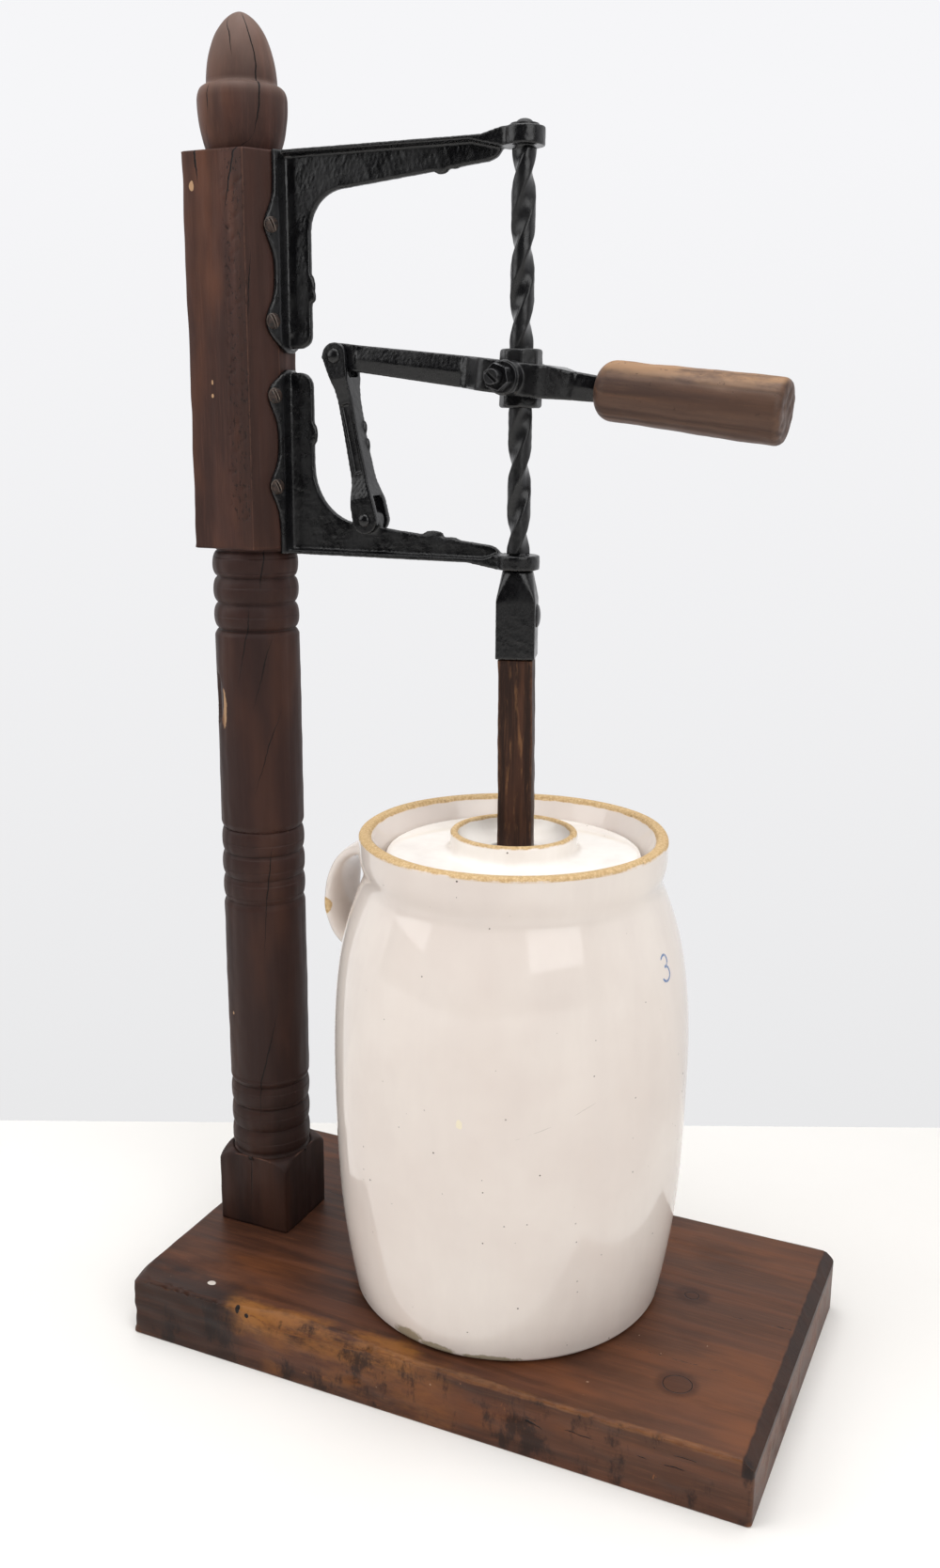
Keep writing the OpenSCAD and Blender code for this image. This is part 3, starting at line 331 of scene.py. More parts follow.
def lineMaskGroup():
    # 1 on a wavering line from Start to End, fading out over Width
    tree, inn, out = makeGroup("lineMask", [("Vector", "Vector", None), ("Start", "Vector", None), ("End", "Vector", None),
                                            ("Width", "Float", 0.0008), ("Waver", "Float", 0.002)], [("Mask", "Float")])
    tone = add(tree, "TexNoise", {"Vector": inn["Vector"], "Scale": 90.0, "Detail": 3.0})
    shake = add(tree, "VectorMath", {0: tone.outputs["Color"], 1: (-0.5, -0.5, -0.5)}, operation="ADD").outputs[0]
    shake = add(tree, "VectorMath", {0: shake, "Scale": inn["Waver"]}, operation="SCALE").outputs[0]
    here = add(tree, "VectorMath", {0: inn["Vector"], 1: shake}, operation="ADD").outputs[0]
    way = add(tree, "VectorMath", {0: inn["End"], 1: inn["Start"]}, operation="SUBTRACT").outputs[0]
    off = add(tree, "VectorMath", {0: here, 1: inn["Start"]}, operation="SUBTRACT").outputs[0]
    along = add(tree, "VectorMath", {0: off, 1: way}, operation="DOT_PRODUCT").outputs["Value"]
    square = add(tree, "VectorMath", {0: way, 1: way}, operation="DOT_PRODUCT").outputs["Value"]
    share = math2(tree, "DIVIDE", along, square, clamp=True)
    foot = add(tree, "VectorMath", {0: way, "Scale": share}, operation="SCALE").outputs[0]
    gap = add(tree, "VectorMath", {0: off, 1: foot}, operation="DISTANCE").outputs["Value"]
    taper = math2(tree, "SQRT", math2(tree, "MULTIPLY", math2(tree, "MULTIPLY", share, 4.0), math2(tree, "SUBTRACT", 1.0, share)))
    reach = math2(tree, "MULTIPLY", inn["Width"], math2(tree, "MAXIMUM", taper, 0.35))
    near = math2(tree, "SUBTRACT", 1.0, math2(tree, "DIVIDE", gap, reach), clamp=True)
    tree.links.new(span(tree, near, 0.0, 0.6), out["Mask"])
    return tree


def spotMaskGroup():
    # 1 inside an oval spot about Centre with half sizes Size, with a ragged edge
    tree, inn, out = makeGroup("spotMask", [("Vector", "Vector", None), ("Centre", "Vector", None), ("Size", "Vector", (1, 1, 1)),
                                            ("Ragged", "Float", 0.2), ("Soft", "Float", 0.15)], [("Mask", "Float")])
    off = add(tree, "VectorMath", {0: inn["Vector"], 1: inn["Centre"]}, operation="SUBTRACT").outputs[0]
    off = add(tree, "VectorMath", {0: off, 1: inn["Size"]}, operation="DIVIDE").outputs[0]
    reach = add(tree, "VectorMath", {0: off}, operation="LENGTH").outputs["Value"]
    tone = math2(tree, "SUBTRACT", noise(tree, inn["Vector"], 160.0, 4.0, 0.65), 0.5)
    reach = math2(tree, "ADD", reach, math2(tree, "MULTIPLY", tone, math2(tree, "MULTIPLY", inn["Ragged"], 4.0)))
    low = math2(tree, "ADD", 1.0, inn["Soft"])
    tree.links.new(span(tree, reach, low, 1.0), out["Mask"])
    return tree


def woodGrainGroup():
    # Old softwood: growth bands and fine streaks drawn out along Z, with pores; the vector comes in metres with the grain along Z
    tree, inn, out = makeGroup("woodGrain", [("Vector", "Vector", None), ("Rings", "Float", 60.0), ("Length", "Float", 0.06),
                                             ("Light", "Color", None), ("Middle", "Color", None), ("Dark", "Color", None)],
                               [("Color", "Color"), ("Streak", "Float"), ("Pore", "Float")])
    squeeze = add(tree, "CombineXYZ", {"X": 1.0, "Y": 1.0, "Z": inn["Length"]}).outputs[0]
    drawn = add(tree, "VectorMath", {0: inn["Vector"], 1: squeeze}, operation="MULTIPLY").outputs[0]
    drift = noise(tree, drawn, 22.0, 3.0, 0.5)
    band = math2(tree, "FRACT", math2(tree, "MULTIPLY", math2(tree, "ADD", drift, math2(tree, "MULTIPLY", add(
        tree, "SeparateXYZ", {0: drawn}).outputs[0], 3.0)), math2(tree, "MULTIPLY", inn["Rings"], 0.1)))
    late = span(tree, math2(tree, "ABSOLUTE", math2(tree, "SUBTRACT", band, 0.5)), 0.05, 0.5)
    streak = noise(tree, drawn, 520.0, 5.0, 0.7)
    broad = noise(tree, drawn, 60.0, 4.0, 0.6)
    pore = span(tree, noise(tree, drawn, 1500.0, 2.0, 0.5), 0.6, 0.72)
    base = blend(tree, span(tree, math2(tree, "ADD", math2(tree, "MULTIPLY", late, 0.45), math2(tree, "MULTIPLY", broad, 0.6)), 0.15, 0.95),
                 inn["Dark"], inn["Middle"])
    base = blend(tree, span(tree, streak, 0.45, 0.8, 0.0, 0.45), base, inn["Light"])
    base = blend(tree, math2(tree, "MULTIPLY", pore, 0.35), base, inn["Dark"])
    tree.links.new(base, out["Color"])
    tree.links.new(math2(tree, "ADD", math2(tree, "MULTIPLY", streak, 0.6), math2(tree, "MULTIPLY", late, 0.4)), out["Streak"])
    tree.links.new(pore, out["Pore"])
    return tree


def edgeWearGroup():
    # Worn outer edges and darker inner corners, from the stored relief of the mesh and a noise that breaks them up
    tree, inn, out = makeGroup("edgeWear", [("Vector", "Vector", None), ("Scale", "Float", 120.0), ("From", "Float", 0.6),
                                            ("Amount", "Float", 1.0)], [("Edge", "Float"), ("Hollow", "Float")])
    relief = add(tree, "Attribute", attribute_name="relief").outputs["Fac"]
    tone = noise(tree, inn["Vector"], inn["Scale"], 5.0, 0.65)
    mixed = math2(tree, "ADD", relief, math2(tree, "MULTIPLY", math2(tree, "SUBTRACT", tone, 0.5), 0.35))
    tree.links.new(math2(tree, "MULTIPLY", span(tree, mixed, inn["From"], math2(tree, "ADD", inn["From"], 0.2)), inn["Amount"]), out["Edge"])
    tree.links.new(span(tree, mixed, 0.45, 0.2), out["Hollow"])
    return tree


lineMask, spotMask, woodGrain, edgeWear = lineMaskGroup(), spotMaskGroup(), woodGrainGroup(), edgeWearGroup()
print("shared effects ready")


# Materials

woodLook = {"light": "#5a3a30", "middle": "#472d26", "dark": "#37231e", "rings": 62.0, "length": 0.05}
plankLook = {"light": "#75492f", "middle": "#573526", "dark": "#3b241a", "rings": 74.0, "length": 0.05}
rodLook = {"light": "#6d4730", "middle": "#44291c", "dark": "#27160f", "rings": 120.0, "length": 0.04}
gripLook = {"light": "#6c4d38", "middle": "#563d2f", "dark": "#3e2b23", "rings": 130.0, "length": 0.06}


def grainOf(tree, vector, look):
    return useGroup(tree, woodGrain, {"Vector": vector, "Rings": look["rings"], "Length": look["length"], "Light": colour(look["light"]),
                                      "Middle": colour(look["middle"]), "Dark": colour(look["dark"])})


def marksOf(tree, vector, group, marks):
    # The strongest of a list of line or spot masks
    total = None
    for values in marks:
        one = useGroup(tree, group, {"Vector": vector, **values})["Mask"]
        total = one if total is None else math2(tree, "MAXIMUM", total, one)
    return total


def crack(start, end, width=0.5, waver=4.0):
    return {"Start": tuple(v * mm for v in start), "End": tuple(v * mm for v in end), "Width": width * mm, "Waver": waver * mm}


def spot(centre, size, ragged=0.12, soft=0.15):
    return {"Centre": tuple(v * mm for v in centre), "Size": tuple(v * mm for v in size), "Ragged": ragged, "Soft": soft}


def unrolled(tree, vector, x, radius):
    # The surface about an upright axis laid flat: distance round it along X, height along Z
    parts = add(tree, "SeparateXYZ", {0: vector}).outputs
    turn = math2(tree, "ARCTAN2", parts[1], math2(tree, "SUBTRACT", parts[0], x * mm))
    return add(tree, "CombineXYZ", {"X": math2(tree, "MULTIPLY", turn, radius * mm), "Y": 0.0, "Z": parts[2]}).outputs[0]


def flatCrack(start, end, width=0.5, waver=3.0):
    return crack((start[0], 0, start[1]), (end[0], 0, end[1]), width, waver)


def flatSpot(centre, size, ragged=0.12, soft=0.15):
    return spot((centre[0], 0, centre[1]), (size[0], 9, size[1]), ragged, soft)


def crackTrack(tree, flat, drift, points):
    # Cracks one above the other: a ramp over the height holds their place round the post in red and their width in green
    ramp = add(tree, "ValToRGB", {0: add(tree, "SeparateXYZ", {0: flat}).outputs[2]})
    stops = ramp.color_ramp.elements
    while len(stops) < len(points):
        stops.new(0.5)
    for stop, (height, arc, width) in zip(stops, points):
        stop.position = height * mm
    for stop, (height, arc, width) in zip(stops, points):
        stop.color = ((arc + 100) / 200, width, 0, 1)
    held = add(tree, "SeparateColor", {0: ramp.outputs[0]}).outputs
    across = add(tree, "SeparateXYZ", {0: flat}).outputs[0]
    off = math2(tree, "SUBTRACT", math2(tree, "ADD", across, drift), span(tree, held[0], 0.0, 1.0, -100 * mm, 100 * mm, smooth=False))
    width = math2(tree, "MULTIPLY", held[1], mm)
    return span(tree, math2(tree, "ABSOLUTE", off), width, math2(tree, "MULTIPLY", width, 0.5))


postMarks = {
    "cracks": [
        [(66, -48.8, 0), (90, -48, 0.6), (112, -47.3, 0), (121, -39.8, 0), (171, -37.6, 0.55), (204, -29.5, 0.5), (236, -22.2, 0), (268, -32.7, 0),
         (321, -29.2, 0.5), (345, -26, 0.6), (361, -23.9, 0), (395, -37.4, 0), (439, -23.9, 0.5), (468, -11.8, 0), (477, -46.4, 0), (515, -38.6, 0.6),
         (541, -35.1, 0), (547, -28, 0), (560, -26, 0.7), (576, -24, 0.6), (578, -24, 0), (797, -45.4, 0), (820, -40.7, 0.9), (838, -36, 0.8),
         (845, -23.4, 0), (863, -19.4, 0.8), (892, -17.4, 0.9), (907, -20, 1.0), (926, -24.4, 0.8)],
        [(461, -35.5, 0), (495, -26.5, 0.5), (519, -18.9, 0), (728, -31, 0), (752, -29.5, 0.45), (777, -28, 0), (816, -63, 0), (828, -64, 0.6),
         (838, -65.2, 0.5), (860, -57.7, 0), (870, -56.5, 0.8), (880, -55.5, 0), (894, -38, 0), (909, -42.5, 0.9), (922, -56.5, 0.5)],
        [(130, 62, 0), (220, 60, 0.6), (300, 58, 0), (380, 40, 0), (450, 44, 0.5), (520, 41, 0), (600, 72, 0), (700, 75, 0.7), (760, 74, 0)]],
    "chips": [((-67, 815.8), (1.1, 2.8), 0.3), ((-58.6, 681), (0.9, 1.4), 0.3), ((-58.6, 690), (0.6, 1.6), 0.3), ((-62.2, 224), (0.9, 1.2), 0.3)],
    "splinter": [((-61, 462), (3.6, 13), 0.22)]}


def postMaterial():
    made, tree, shader, place3 = startMaterial("oldPostWood")
    grain = grainOf(tree, place3, woodLook)
    flat = unrolled(tree, place3, -205, 30.5)
    height = add(tree, "SeparateXYZ", {0: place3}).outputs[2]
    # The upper block has faded and its front has gone orange in places; the shaft stays dark and its foot darker still
    tone = blend(tree, span(tree, height, 0.575, 0.58), blend(tree, span(tree, height, 0.09, 0.4), colour("#211411"), colour("#2c1b18")), grain["Color"])
    tone = blend(tree, span(tree, height, 0.57, 0.58, 0.25, 0.5), tone, grain["Color"])
    drawn = stretch(tree, place3, (1, 1, 0.3))
    warm = span(tree, noise(tree, drawn, 26.0, 3.0, 0.5), 0.46, 0.7)
    warm = math2(tree, "MULTIPLY", warm, span(tree, height, 0.57, 0.58, 0.14, 0.42))
    tone = blend(tree, warm, tone, colour("#74472f"))
    shade = span(tree, noise(tree, drawn, 34.0, 4.0, 0.6), 0.5, 0.75)
    tone = blend(tree, math2(tree, "MULTIPLY", shade, 0.45), tone, colour("#2b1a17"))
    # Upward faces near the top are painted lighter: partly dust, partly painted top light
    dustAndTopLight = math2(tree, "MULTIPLY", span(tree, height, 0.84, 0.9), span(tree, add(tree, "SeparateXYZ", {0: add(
        tree, "NewGeometry").outputs["Normal"]}).outputs[2], -0.2, 0.6, 0.15, 0.6))
    tone = blend(tree, dustAndTopLight, tone, colour("#796359"))
    # The planed flat beside the front corner is rougher; its darker tone here is painted shade on that face
    planedFlatShade = boxMask(tree, flat, (-37, None, 580), (-8, None, 836), 1.5)
    tone = blend(tree, math2(tree, "MULTIPLY", planedFlatShade, 0.45), tone, colour("#33211b"))
    wear = useGroup(tree, edgeWear, {"Vector": place3, "Scale": 150.0, "From": 0.68, "Amount": 0.5})
    tone = blend(tree, wear["Edge"], tone, colour("#6b4a3c"))
    tone = blend(tree, math2(tree, "MULTIPLY", wear["Hollow"], 0.7), tone, colour("#1d120f"))
    drift = math2(tree, "MULTIPLY", math2(tree, "SUBTRACT", noise(tree, flat, 60.0, 5.0, 0.65), 0.5), 4 * mm)
    cracks = None
    for points in postMarks["cracks"]:
        one = crackTrack(tree, flat, drift, points)
        cracks = one if cracks is None else math2(tree, "MAXIMUM", cracks, one)
    tone = blend(tree, cracks, tone, colour("#0c0706"))
    bare = marksOf(tree, flat, spotMask, [flatSpot(*one) for one in postMarks["chips"]])
    tone = blend(tree, math2(tree, "MULTIPLY", bare, 0.85), tone, colour("#b99471"))
    bare = marksOf(tree, flat, spotMask, [flatSpot(*one) for one in postMarks["splinter"]])
    tone = blend(tree, bare, tone, blend(tree, span(tree, grain["Streak"], 0.3, 0.7), colour("#6b4a33"), colour("#a88564")))
    # Fine pits gather along the front corner
    near = math2(tree, "MULTIPLY", boxMask(tree, flat, (-43, None, 600), (-33, None, 835), 5), span(tree, noise(tree, stretch(
        tree, place3, (1, 1, 0.6)), 420.0, 3.0, 0.6), 0.57, 0.63))
    tone = blend(tree, math2(tree, "MULTIPLY", near, 0.6), tone, colour("#1a100d"))
    rough = span(tree, grain["Streak"], 0.2, 0.8, 0.62, 0.48)
    bumps = math2(tree, "SUBTRACT", grain["Streak"], math2(tree, "MULTIPLY", math2(tree, "MAXIMUM", near, cracks), 3.0))
    finishShader(tree, shader, tone, rough, bumps, 0.35, 0.6 * mm, Specular_IOR_Level=0.22)
    return made


def boxMask(tree, vector, low, high, soft, ragged=0.0):
    # 1 inside an upright box, fading over soft; ragged shakes the place by a noise
    if ragged:
        tone = add(tree, "TexNoise", {"Vector": vector, "Scale": 70.0, "Detail": 4.0})
        shake = add(tree, "VectorMath", {0: tone.outputs["Color"], 1: (-0.5, -0.5, -0.5)}, operation="ADD").outputs[0]
        shake = add(tree, "VectorMath", {0: shake, "Scale": ragged * mm}, operation="SCALE").outputs[0]
        vector = add(tree, "VectorMath", {0: vector, 1: shake}, operation="ADD").outputs[0]
    parts = add(tree, "SeparateXYZ", {0: vector}).outputs
    total = None
    for part, a, b in zip(parts, low, high):
        if a is None:
            continue
        one = math2(tree, "MULTIPLY", span(tree, part, (a - soft) * mm, a * mm), span(tree, part, (b + soft) * mm, b * mm))
        total = one if total is None else math2(tree, "MULTIPLY", total, one)
    return total


def plankMaterial():
    made, tree, shader, place3 = startMaterial("oldPlankWood")
    turned = stretch(tree, place3, (1, 1, 1), (0, math.radians(90), 0))
    grain = grainOf(tree, turned, plankLook)
    tone = grain["Color"]
    # Warm patches in the old varnish, dark stains, then the raw orange of the worn front edge
    along = stretch(tree, place3, (0.35, 1, 1))
    warm = span(tree, noise(tree, along, 13.0, 4.0, 0.6), 0.48, 0.72)
    tone = blend(tree, math2(tree, "MULTIPLY", warm, 0.65), tone, colour("#7a4726"))
    stain = span(tree, noise(tree, along, 17.0, 5.0, 0.65), 0.52, 0.75)
    tone = blend(tree, math2(tree, "MULTIPLY", stain, 0.6), tone, colour("#2a1812"))
    # The right end of the top is painted paler: partly lighter wood, partly painted light from the right
    pale = math2(tree, "MULTIPLY", boxMask(tree, place3, (125, None, 40), (230, None, 60), 60, 40), 0.16)
    tone = blend(tree, pale, tone, colour("#8a5f47"))
    breaks = span(tree, noise(tree, along, 60.0, 5.0, 0.7), 0.35, 0.62)
    worn = math2(tree, "MULTIPLY", boxMask(tree, place3, (-160, -131, 36), (-20, -119.5, 50), 12, 18), breaks)
    tone = blend(tree, math2(tree, "MULTIPLY", worn, 0.85), tone, colour("#93602f"))
    face = math2(tree, "MULTIPLY", boxMask(tree, place3, (-120, -131, 4), (0, -126, 36), 25, 30), breaks)
    tone = blend(tree, math2(tree, "MULTIPLY", face, 0.6), tone, colour("#80502a"))
    edge = math2(tree, "MULTIPLY", boxMask(tree, place3, (-40, -131, 44), (212, -125.5, 50), 1.6, 3), breaks)
    tone = blend(tree, math2(tree, "MULTIPLY", edge, 0.5), tone, colour("#8e5f38"))
    # Short dark gouges and orange chips across the front face
    front = boxMask(tree, place3, (-248, -131, 2), (218, -122, 44), 3)
    upright = stretch(tree, place3, (1, 1, 0.45))
    gouge = math2(tree, "MULTIPLY", span(tree, noise(tree, upright, 48.0, 5.0, 0.7), 0.52, 0.64), front)
    tone = blend(tree, math2(tree, "MULTIPLY", gouge, 0.8), tone, colour("#1f130f"))
    chips = math2(tree, "MULTIPLY", span(tree, noise(tree, stretch(tree, place3, (1.3, 1, 0.9)), 61.0, 4.0, 0.7), 0.66, 0.7), front)
    tone = blend(tree, math2(tree, "MULTIPLY", chips, 0.7), tone, colour("#8a5631"))
    wear = useGroup(tree, edgeWear, {"Vector": place3, "Scale": 70.0, "From": 0.66, "Amount": 0.75})
    tone = blend(tree, wear["Edge"], tone, colour("#6f4526"))
    dark = boxMask(tree, place3, (213, None, 36), (230, None, 60), 1.5, 3)
    dark = math2(tree, "MAXIMUM", dark, math2(tree, "MULTIPLY", boxMask(tree, place3, (-252, -131, 8), (-165, -112, 50), 14, 30), 0.75))
    tone = blend(tree, math2(tree, "MULTIPLY", dark, 0.8), tone, colour("#1b1211"))
    cracks = marksOf(tree, place3, lineMask, [
        crack((-181, 38, 47), (-120, 39.5, 47), 0.5), crack((170, 13, 47), (222, 16, 46), 0.6), crack((40, -128, 31), (215, -128, 25), 0.6),
        crack((-70, -128, 18), (-48, -128, 15), 1.3, 6), crack((52, -128, 29), (80, -128, 26), 1.2, 6), crack((150, -128, 38), (212, -128, 33), 0.6),
        crack((-60, 95, 47), (120, 93, 47), 0.35), crack((90, -52, 47), (200, -49, 47), 0.3)])
    cracks = math2(tree, "MAXIMUM", cracks, marksOf(tree, place3, spotMask, [spot((-157, -126, 45), (1.7, 1.7, 4), 0.02), spot((-149, -128, 42), (1.6, 4, 1.6), 0.02)]))
    # A sound knot in a ring of dark bark, and a smaller blurred one
    knots = marksOf(tree, place3, spotMask, [spot((155, -75, 47), (11.5, 10.5, 6), 0.05, 0.5), spot((136, 26, 47), (9, 7, 6), 0.12, 0.9)])
    tone = blend(tree, math2(tree, "MULTIPLY", knots, 0.55), tone, colour("#341d15"))
    outer = marksOf(tree, place3, spotMask, [spot((155, -75, 47), (9.9, 9.1, 6), 0.03, 0.04), spot((136, 26, 47), (5.2, 4.6, 6), 0.1, 0.06)])
    inner = marksOf(tree, place3, spotMask, [spot((155, -75, 47), (9.3, 8.5, 6), 0.03, 0.04), spot((136, 26, 47), (4.6, 4.0, 6), 0.1, 0.06)])
    cracks = math2(tree, "MAXIMUM", cracks, math2(tree, "SUBTRACT", outer, inner, clamp=True))
    tone = blend(tree, cracks, tone, colour("#120b09"))
    specks = math2(tree, "GREATER_THAN", noise(tree, place3, 240.0, 1.0, 0.4), 0.83)
    tone = blend(tree, math2(tree, "MULTIPLY", specks, 0.6), tone, colour("#a98c72"))
    paint = marksOf(tree, place3, spotMask, [spot((-190, -110, 47), (3, 2.4, 4), 0.08)])
    tone = blend(tree, paint, tone, colour("#cfc6bd"))
    rough = span(tree, math2(tree, "ADD", math2(tree, "MULTIPLY", grain["Streak"], 0.6), math2(tree, "MULTIPLY", stain, 0.4)), 0.2, 0.8, 0.4, 0.56)
    height = math2(tree, "SUBTRACT", grain["Streak"], math2(tree, "MULTIPLY", cracks, 3.0))
    finishShader(tree, shader, tone, rough, height, 0.35, 0.5 * mm, Specular_IOR_Level=0.22)
    return made


def rodMaterial():
    made, tree, shader, place3 = startMaterial("rodWood")
    grain = grainOf(tree, place3, rodLook)
    wear = useGroup(tree, edgeWear, {"Vector": place3, "Scale": 200.0, "From": 0.6, "Amount": 0.6})
    tone = blend(tree, wear["Edge"], grain["Color"], colour("#6a4733"))
    # Light scuffs run down the middle of the worn faces
    scuff = span(tree, noise(tree, stretch(tree, place3, (1, 1, 0.12)), 260.0, 4.0, 0.6), 0.56, 0.7)
    tone = blend(tree, math2(tree, "MULTIPLY", scuff, 0.5), tone, colour("#8a603d"))
    stain = span(tree, noise(tree, stretch(tree, place3, (1, 1, 0.3)), 55.0, 4.0, 0.6), 0.5, 0.72)
    tone = blend(tree, math2(tree, "MULTIPLY", stain, 0.6), tone, colour("#20120d"))
    finishShader(tree, shader, tone, span(tree, grain["Streak"], 0.2, 0.8, 0.62, 0.45), grain["Streak"], 0.5, 0.5 * mm, Specular_IOR_Level=0.25)
    return made


def gripMaterial(tilt):
    made, tree, shader, place3 = startMaterial("gripWood")
    turned = stretch(tree, place3, (1, 1, 1), (0, math.radians(90 - tilt), 0))
    grain = grainOf(tree, turned, gripLook)
    wear = useGroup(tree, edgeWear, {"Vector": place3, "Scale": 120.0, "From": 0.58, "Amount": 0.7})
    grime = span(tree, noise(tree, place3, 45.0, 5.0, 0.65), 0.42, 0.72)
    tone = blend(tree, math2(tree, "MULTIPLY", grime, 0.4), grain["Color"], colour("#4a3226"))
    tone = blend(tree, math2(tree, "MULTIPLY", wear["Edge"], 0.5), tone, colour("#86644a"))
    # The upward-facing top of the grip is painted lighter: partly worn wood, partly painted top light
    wornAndLitCrown = span(tree, add(tree, "SeparateXYZ", {0: add(tree, "TexCoord").outputs["Normal"]}).outputs[2], 0.35, 1.0)
    mottle = span(tree, noise(tree, stretch(tree, turned, (1, 1, 0.4)), 75.0, 5.0, 0.65), 0.38, 0.6, 0.25, 1.0)
    tone = blend(tree, math2(tree, "MULTIPLY", wornAndLitCrown, math2(tree, "MULTIPLY", mottle, 0.9)), tone, colour("#a07a56"))
    pits = span(tree, noise(tree, place3, 420.0, 2.0, 0.5), 0.66, 0.72)
    tone = blend(tree, math2(tree, "MULTIPLY", pits, 0.6), tone, colour("#3a261c"))
    bumps = math2(tree, "SUBTRACT", grain["Streak"], pits)
    finishShader(tree, shader, tone, span(tree, grain["Streak"], 0.2, 0.8, 0.6, 0.45), bumps, 0.35, 0.4 * mm, Specular_IOR_Level=0.35)
    return made


def ironMaterial(name, base, worn, wornAt, roughLow, roughHigh, lump):
    # Black painted cast iron: sand texture under the paint, rubbed edges and a patchy gloss
    made, tree, shader, place3 = startMaterial(name)
    wear = useGroup(tree, edgeWear, {"Vector": place3, "Scale": 260.0, "From": wornAt, "Amount": 0.8})
    broad = noise(tree, place3, 45.0, 4.0, 0.6)
    tone = blend(tree, span(tree, broad, 0.35, 0.7), colour(base), colour("#0e0e10"))
    tone = blend(tree, wear["Edge"], tone, colour(worn))
    sand = noise(tree, place3, 900.0, 4.0, 0.6)
    grit = noise(tree, place3, 300.0, 3.0, 0.6)
    rough = span(tree, broad, 0.3, 0.7, roughLow, roughHigh)
    height = math2(tree, "ADD", math2(tree, "MULTIPLY", sand, 0.5), grit)
    finishShader(tree, shader, tone, rough, height, lump, 0.35 * mm)
    return made


def rustyMaterial():
    made, tree, shader, place3 = startMaterial("rustySteel")
    wear = useGroup(tree, edgeWear, {"Vector": place3, "Scale": 400.0, "From": 0.6, "Amount": 0.9})
    patch = noise(tree, place3, 420.0, 5.0, 0.7)
    tone = blend(tree, span(tree, patch, 0.38, 0.62), colour("#1c1716"), colour("#43342d"))
    tone = blend(tree, wear["Edge"], tone, colour("#766a61"))
    finishShader(tree, shader, tone, span(tree, patch, 0.3, 0.7, 0.4, 0.65), patch, 0.4, 0.2 * mm, Metallic=0.35)
    return made


def glazeMaterial(name, bareTests, markTests=None, deep="#ded2ca", pale="#e9e0d8"):
    # Milky glaze over stoneware: slow tint changes, pinholes, and bare tan clay where bareTests says the glaze was wiped off
    made, tree, shader, place3 = startMaterial(name)
    cloud = noise(tree, place3, 7.0, 4.0, 0.55)
    runs = noise(tree, stretch(tree, place3, (1, 1, 0.25)), 30.0, 4.0, 0.6)
    tone = blend(tree, span(tree, cloud, 0.3, 0.7), colour(deep), colour(pale))
    tone = blend(tree, span(tree, runs, 0.35, 0.75, 0.0, 0.45), tone, colour("#dacfc8"))
    cells = add(tree, "TexVoronoi", {"Vector": place3, "Scale": 150.0}, feature="F1").outputs
    pick = add(tree, "SeparateColor", {0: cells["Color"]}).outputs
    pits = math2(tree, "LESS_THAN", cells["Distance"], span(tree, pick[0], 0.76, 1.0, 0.0, 0.11, smooth=False))
    tone = blend(tree, math2(tree, "MULTIPLY", pits, span(tree, pick[1], 0.0, 1.0, 0.35, 0.95)), tone, colour("#4f4238"))
    if markTests:
        for mask, shade in markTests(tree, place3):
            tone = blend(tree, mask, tone, colour(shade))
    bare = bareTests(tree, place3)
    clay = blend(tree, span(tree, noise(tree, place3, 500.0, 5.0, 0.7), 0.35, 0.7), colour("#bd9a69"), colour("#dcc093"))
    clay = blend(tree, span(tree, noise(tree, place3, 190.0, 4.0, 0.7), 0.6, 0.72, 0.0, 0.7), clay, colour("#7d6442"))
    tone = blend(tree, bare, tone, clay)
    rough = blend(tree, bare, (0.07, 0.07, 0.07, 1), (0.75, 0.75, 0.75, 1))
    height = math2(tree, "SUBTRACT", math2(tree, "MULTIPLY", cloud, 0.6), math2(tree, "ADD", math2(tree, "MULTIPLY", pits, 0.4), math2(tree, "MULTIPLY", bare, 0.3)))
    finishShader(tree, shader, tone, rough, height, 0.2, 0.8 * mm, Coat_Weight=0.0)
    return made


def ringBand(tree, vector, low, high, base, soft=0.8 * mm):
    # 1 between two distances from the Z axis and above a height
    parts = add(tree, "SeparateXYZ", {0: vector}).outputs
    reach = math2(tree, "SQRT", math2(tree, "ADD", math2(tree, "MULTIPLY", parts[0], parts[0]), math2(tree, "MULTIPLY", parts[1], parts[1])))
    shake = math2(tree, "MULTIPLY", math2(tree, "SUBTRACT", noise(tree, vector, 110.0, 5.0, 0.65), 0.5), 2.2 * mm)
    reach = math2(tree, "ADD", reach, shake)
    inside = math2(tree, "MULTIPLY", span(tree, reach, low - soft, low), span(tree, reach, high + soft, high))
    return math2(tree, "MULTIPLY", inside, span(tree, math2(tree, "ADD", parts[2], shake), base - soft, base))


# The crock: its outside is a barrel curve, pinched below the rim band, and the ledge inside carries the lid
crockShape = {"foot": 112.0, "belly": 126.8, "bellyAt": 159.8, "neck": 103.6, "neckAt": 311.0, "rim": 107.4, "height": 343.0,
              "swell": (2.2, 3.0), "wall": 10.0, "floor": 12.0, "rimWidth": 8.0, "ledgeDrop": 24.0, "ledge": 9.0, "onPlank": 47.0}
handleShape = {"centreX": -103.0, "drop": 62.0, "radius": 46.0, "reach": 39.0, "width": 46.0, "thick": 9.5}
lidShape = {"thick": 11.0, "collarUp": 14.0, "collar": 44.2, "collarWidth": 5.4, "hole": 19.0, "gap": 1.5}


def crockRadius(h, s):
    # Below the belly the radius falls as a power of the distance to the foot, above it as a power of the distance to the neck
    low = s["belly"] - (s["belly"] - s["foot"]) * np.clip((s["bellyAt"] - h) / s["bellyAt"], 0, 1) ** s["swell"][0]
    high = s["belly"] - (s["belly"] - s["neck"]) * np.clip((h - s["bellyAt"]) / (s["neckAt"] - s["bellyAt"]), 0, 1) ** s["swell"][1]
    return np.where(h < s["bellyAt"], low, high)


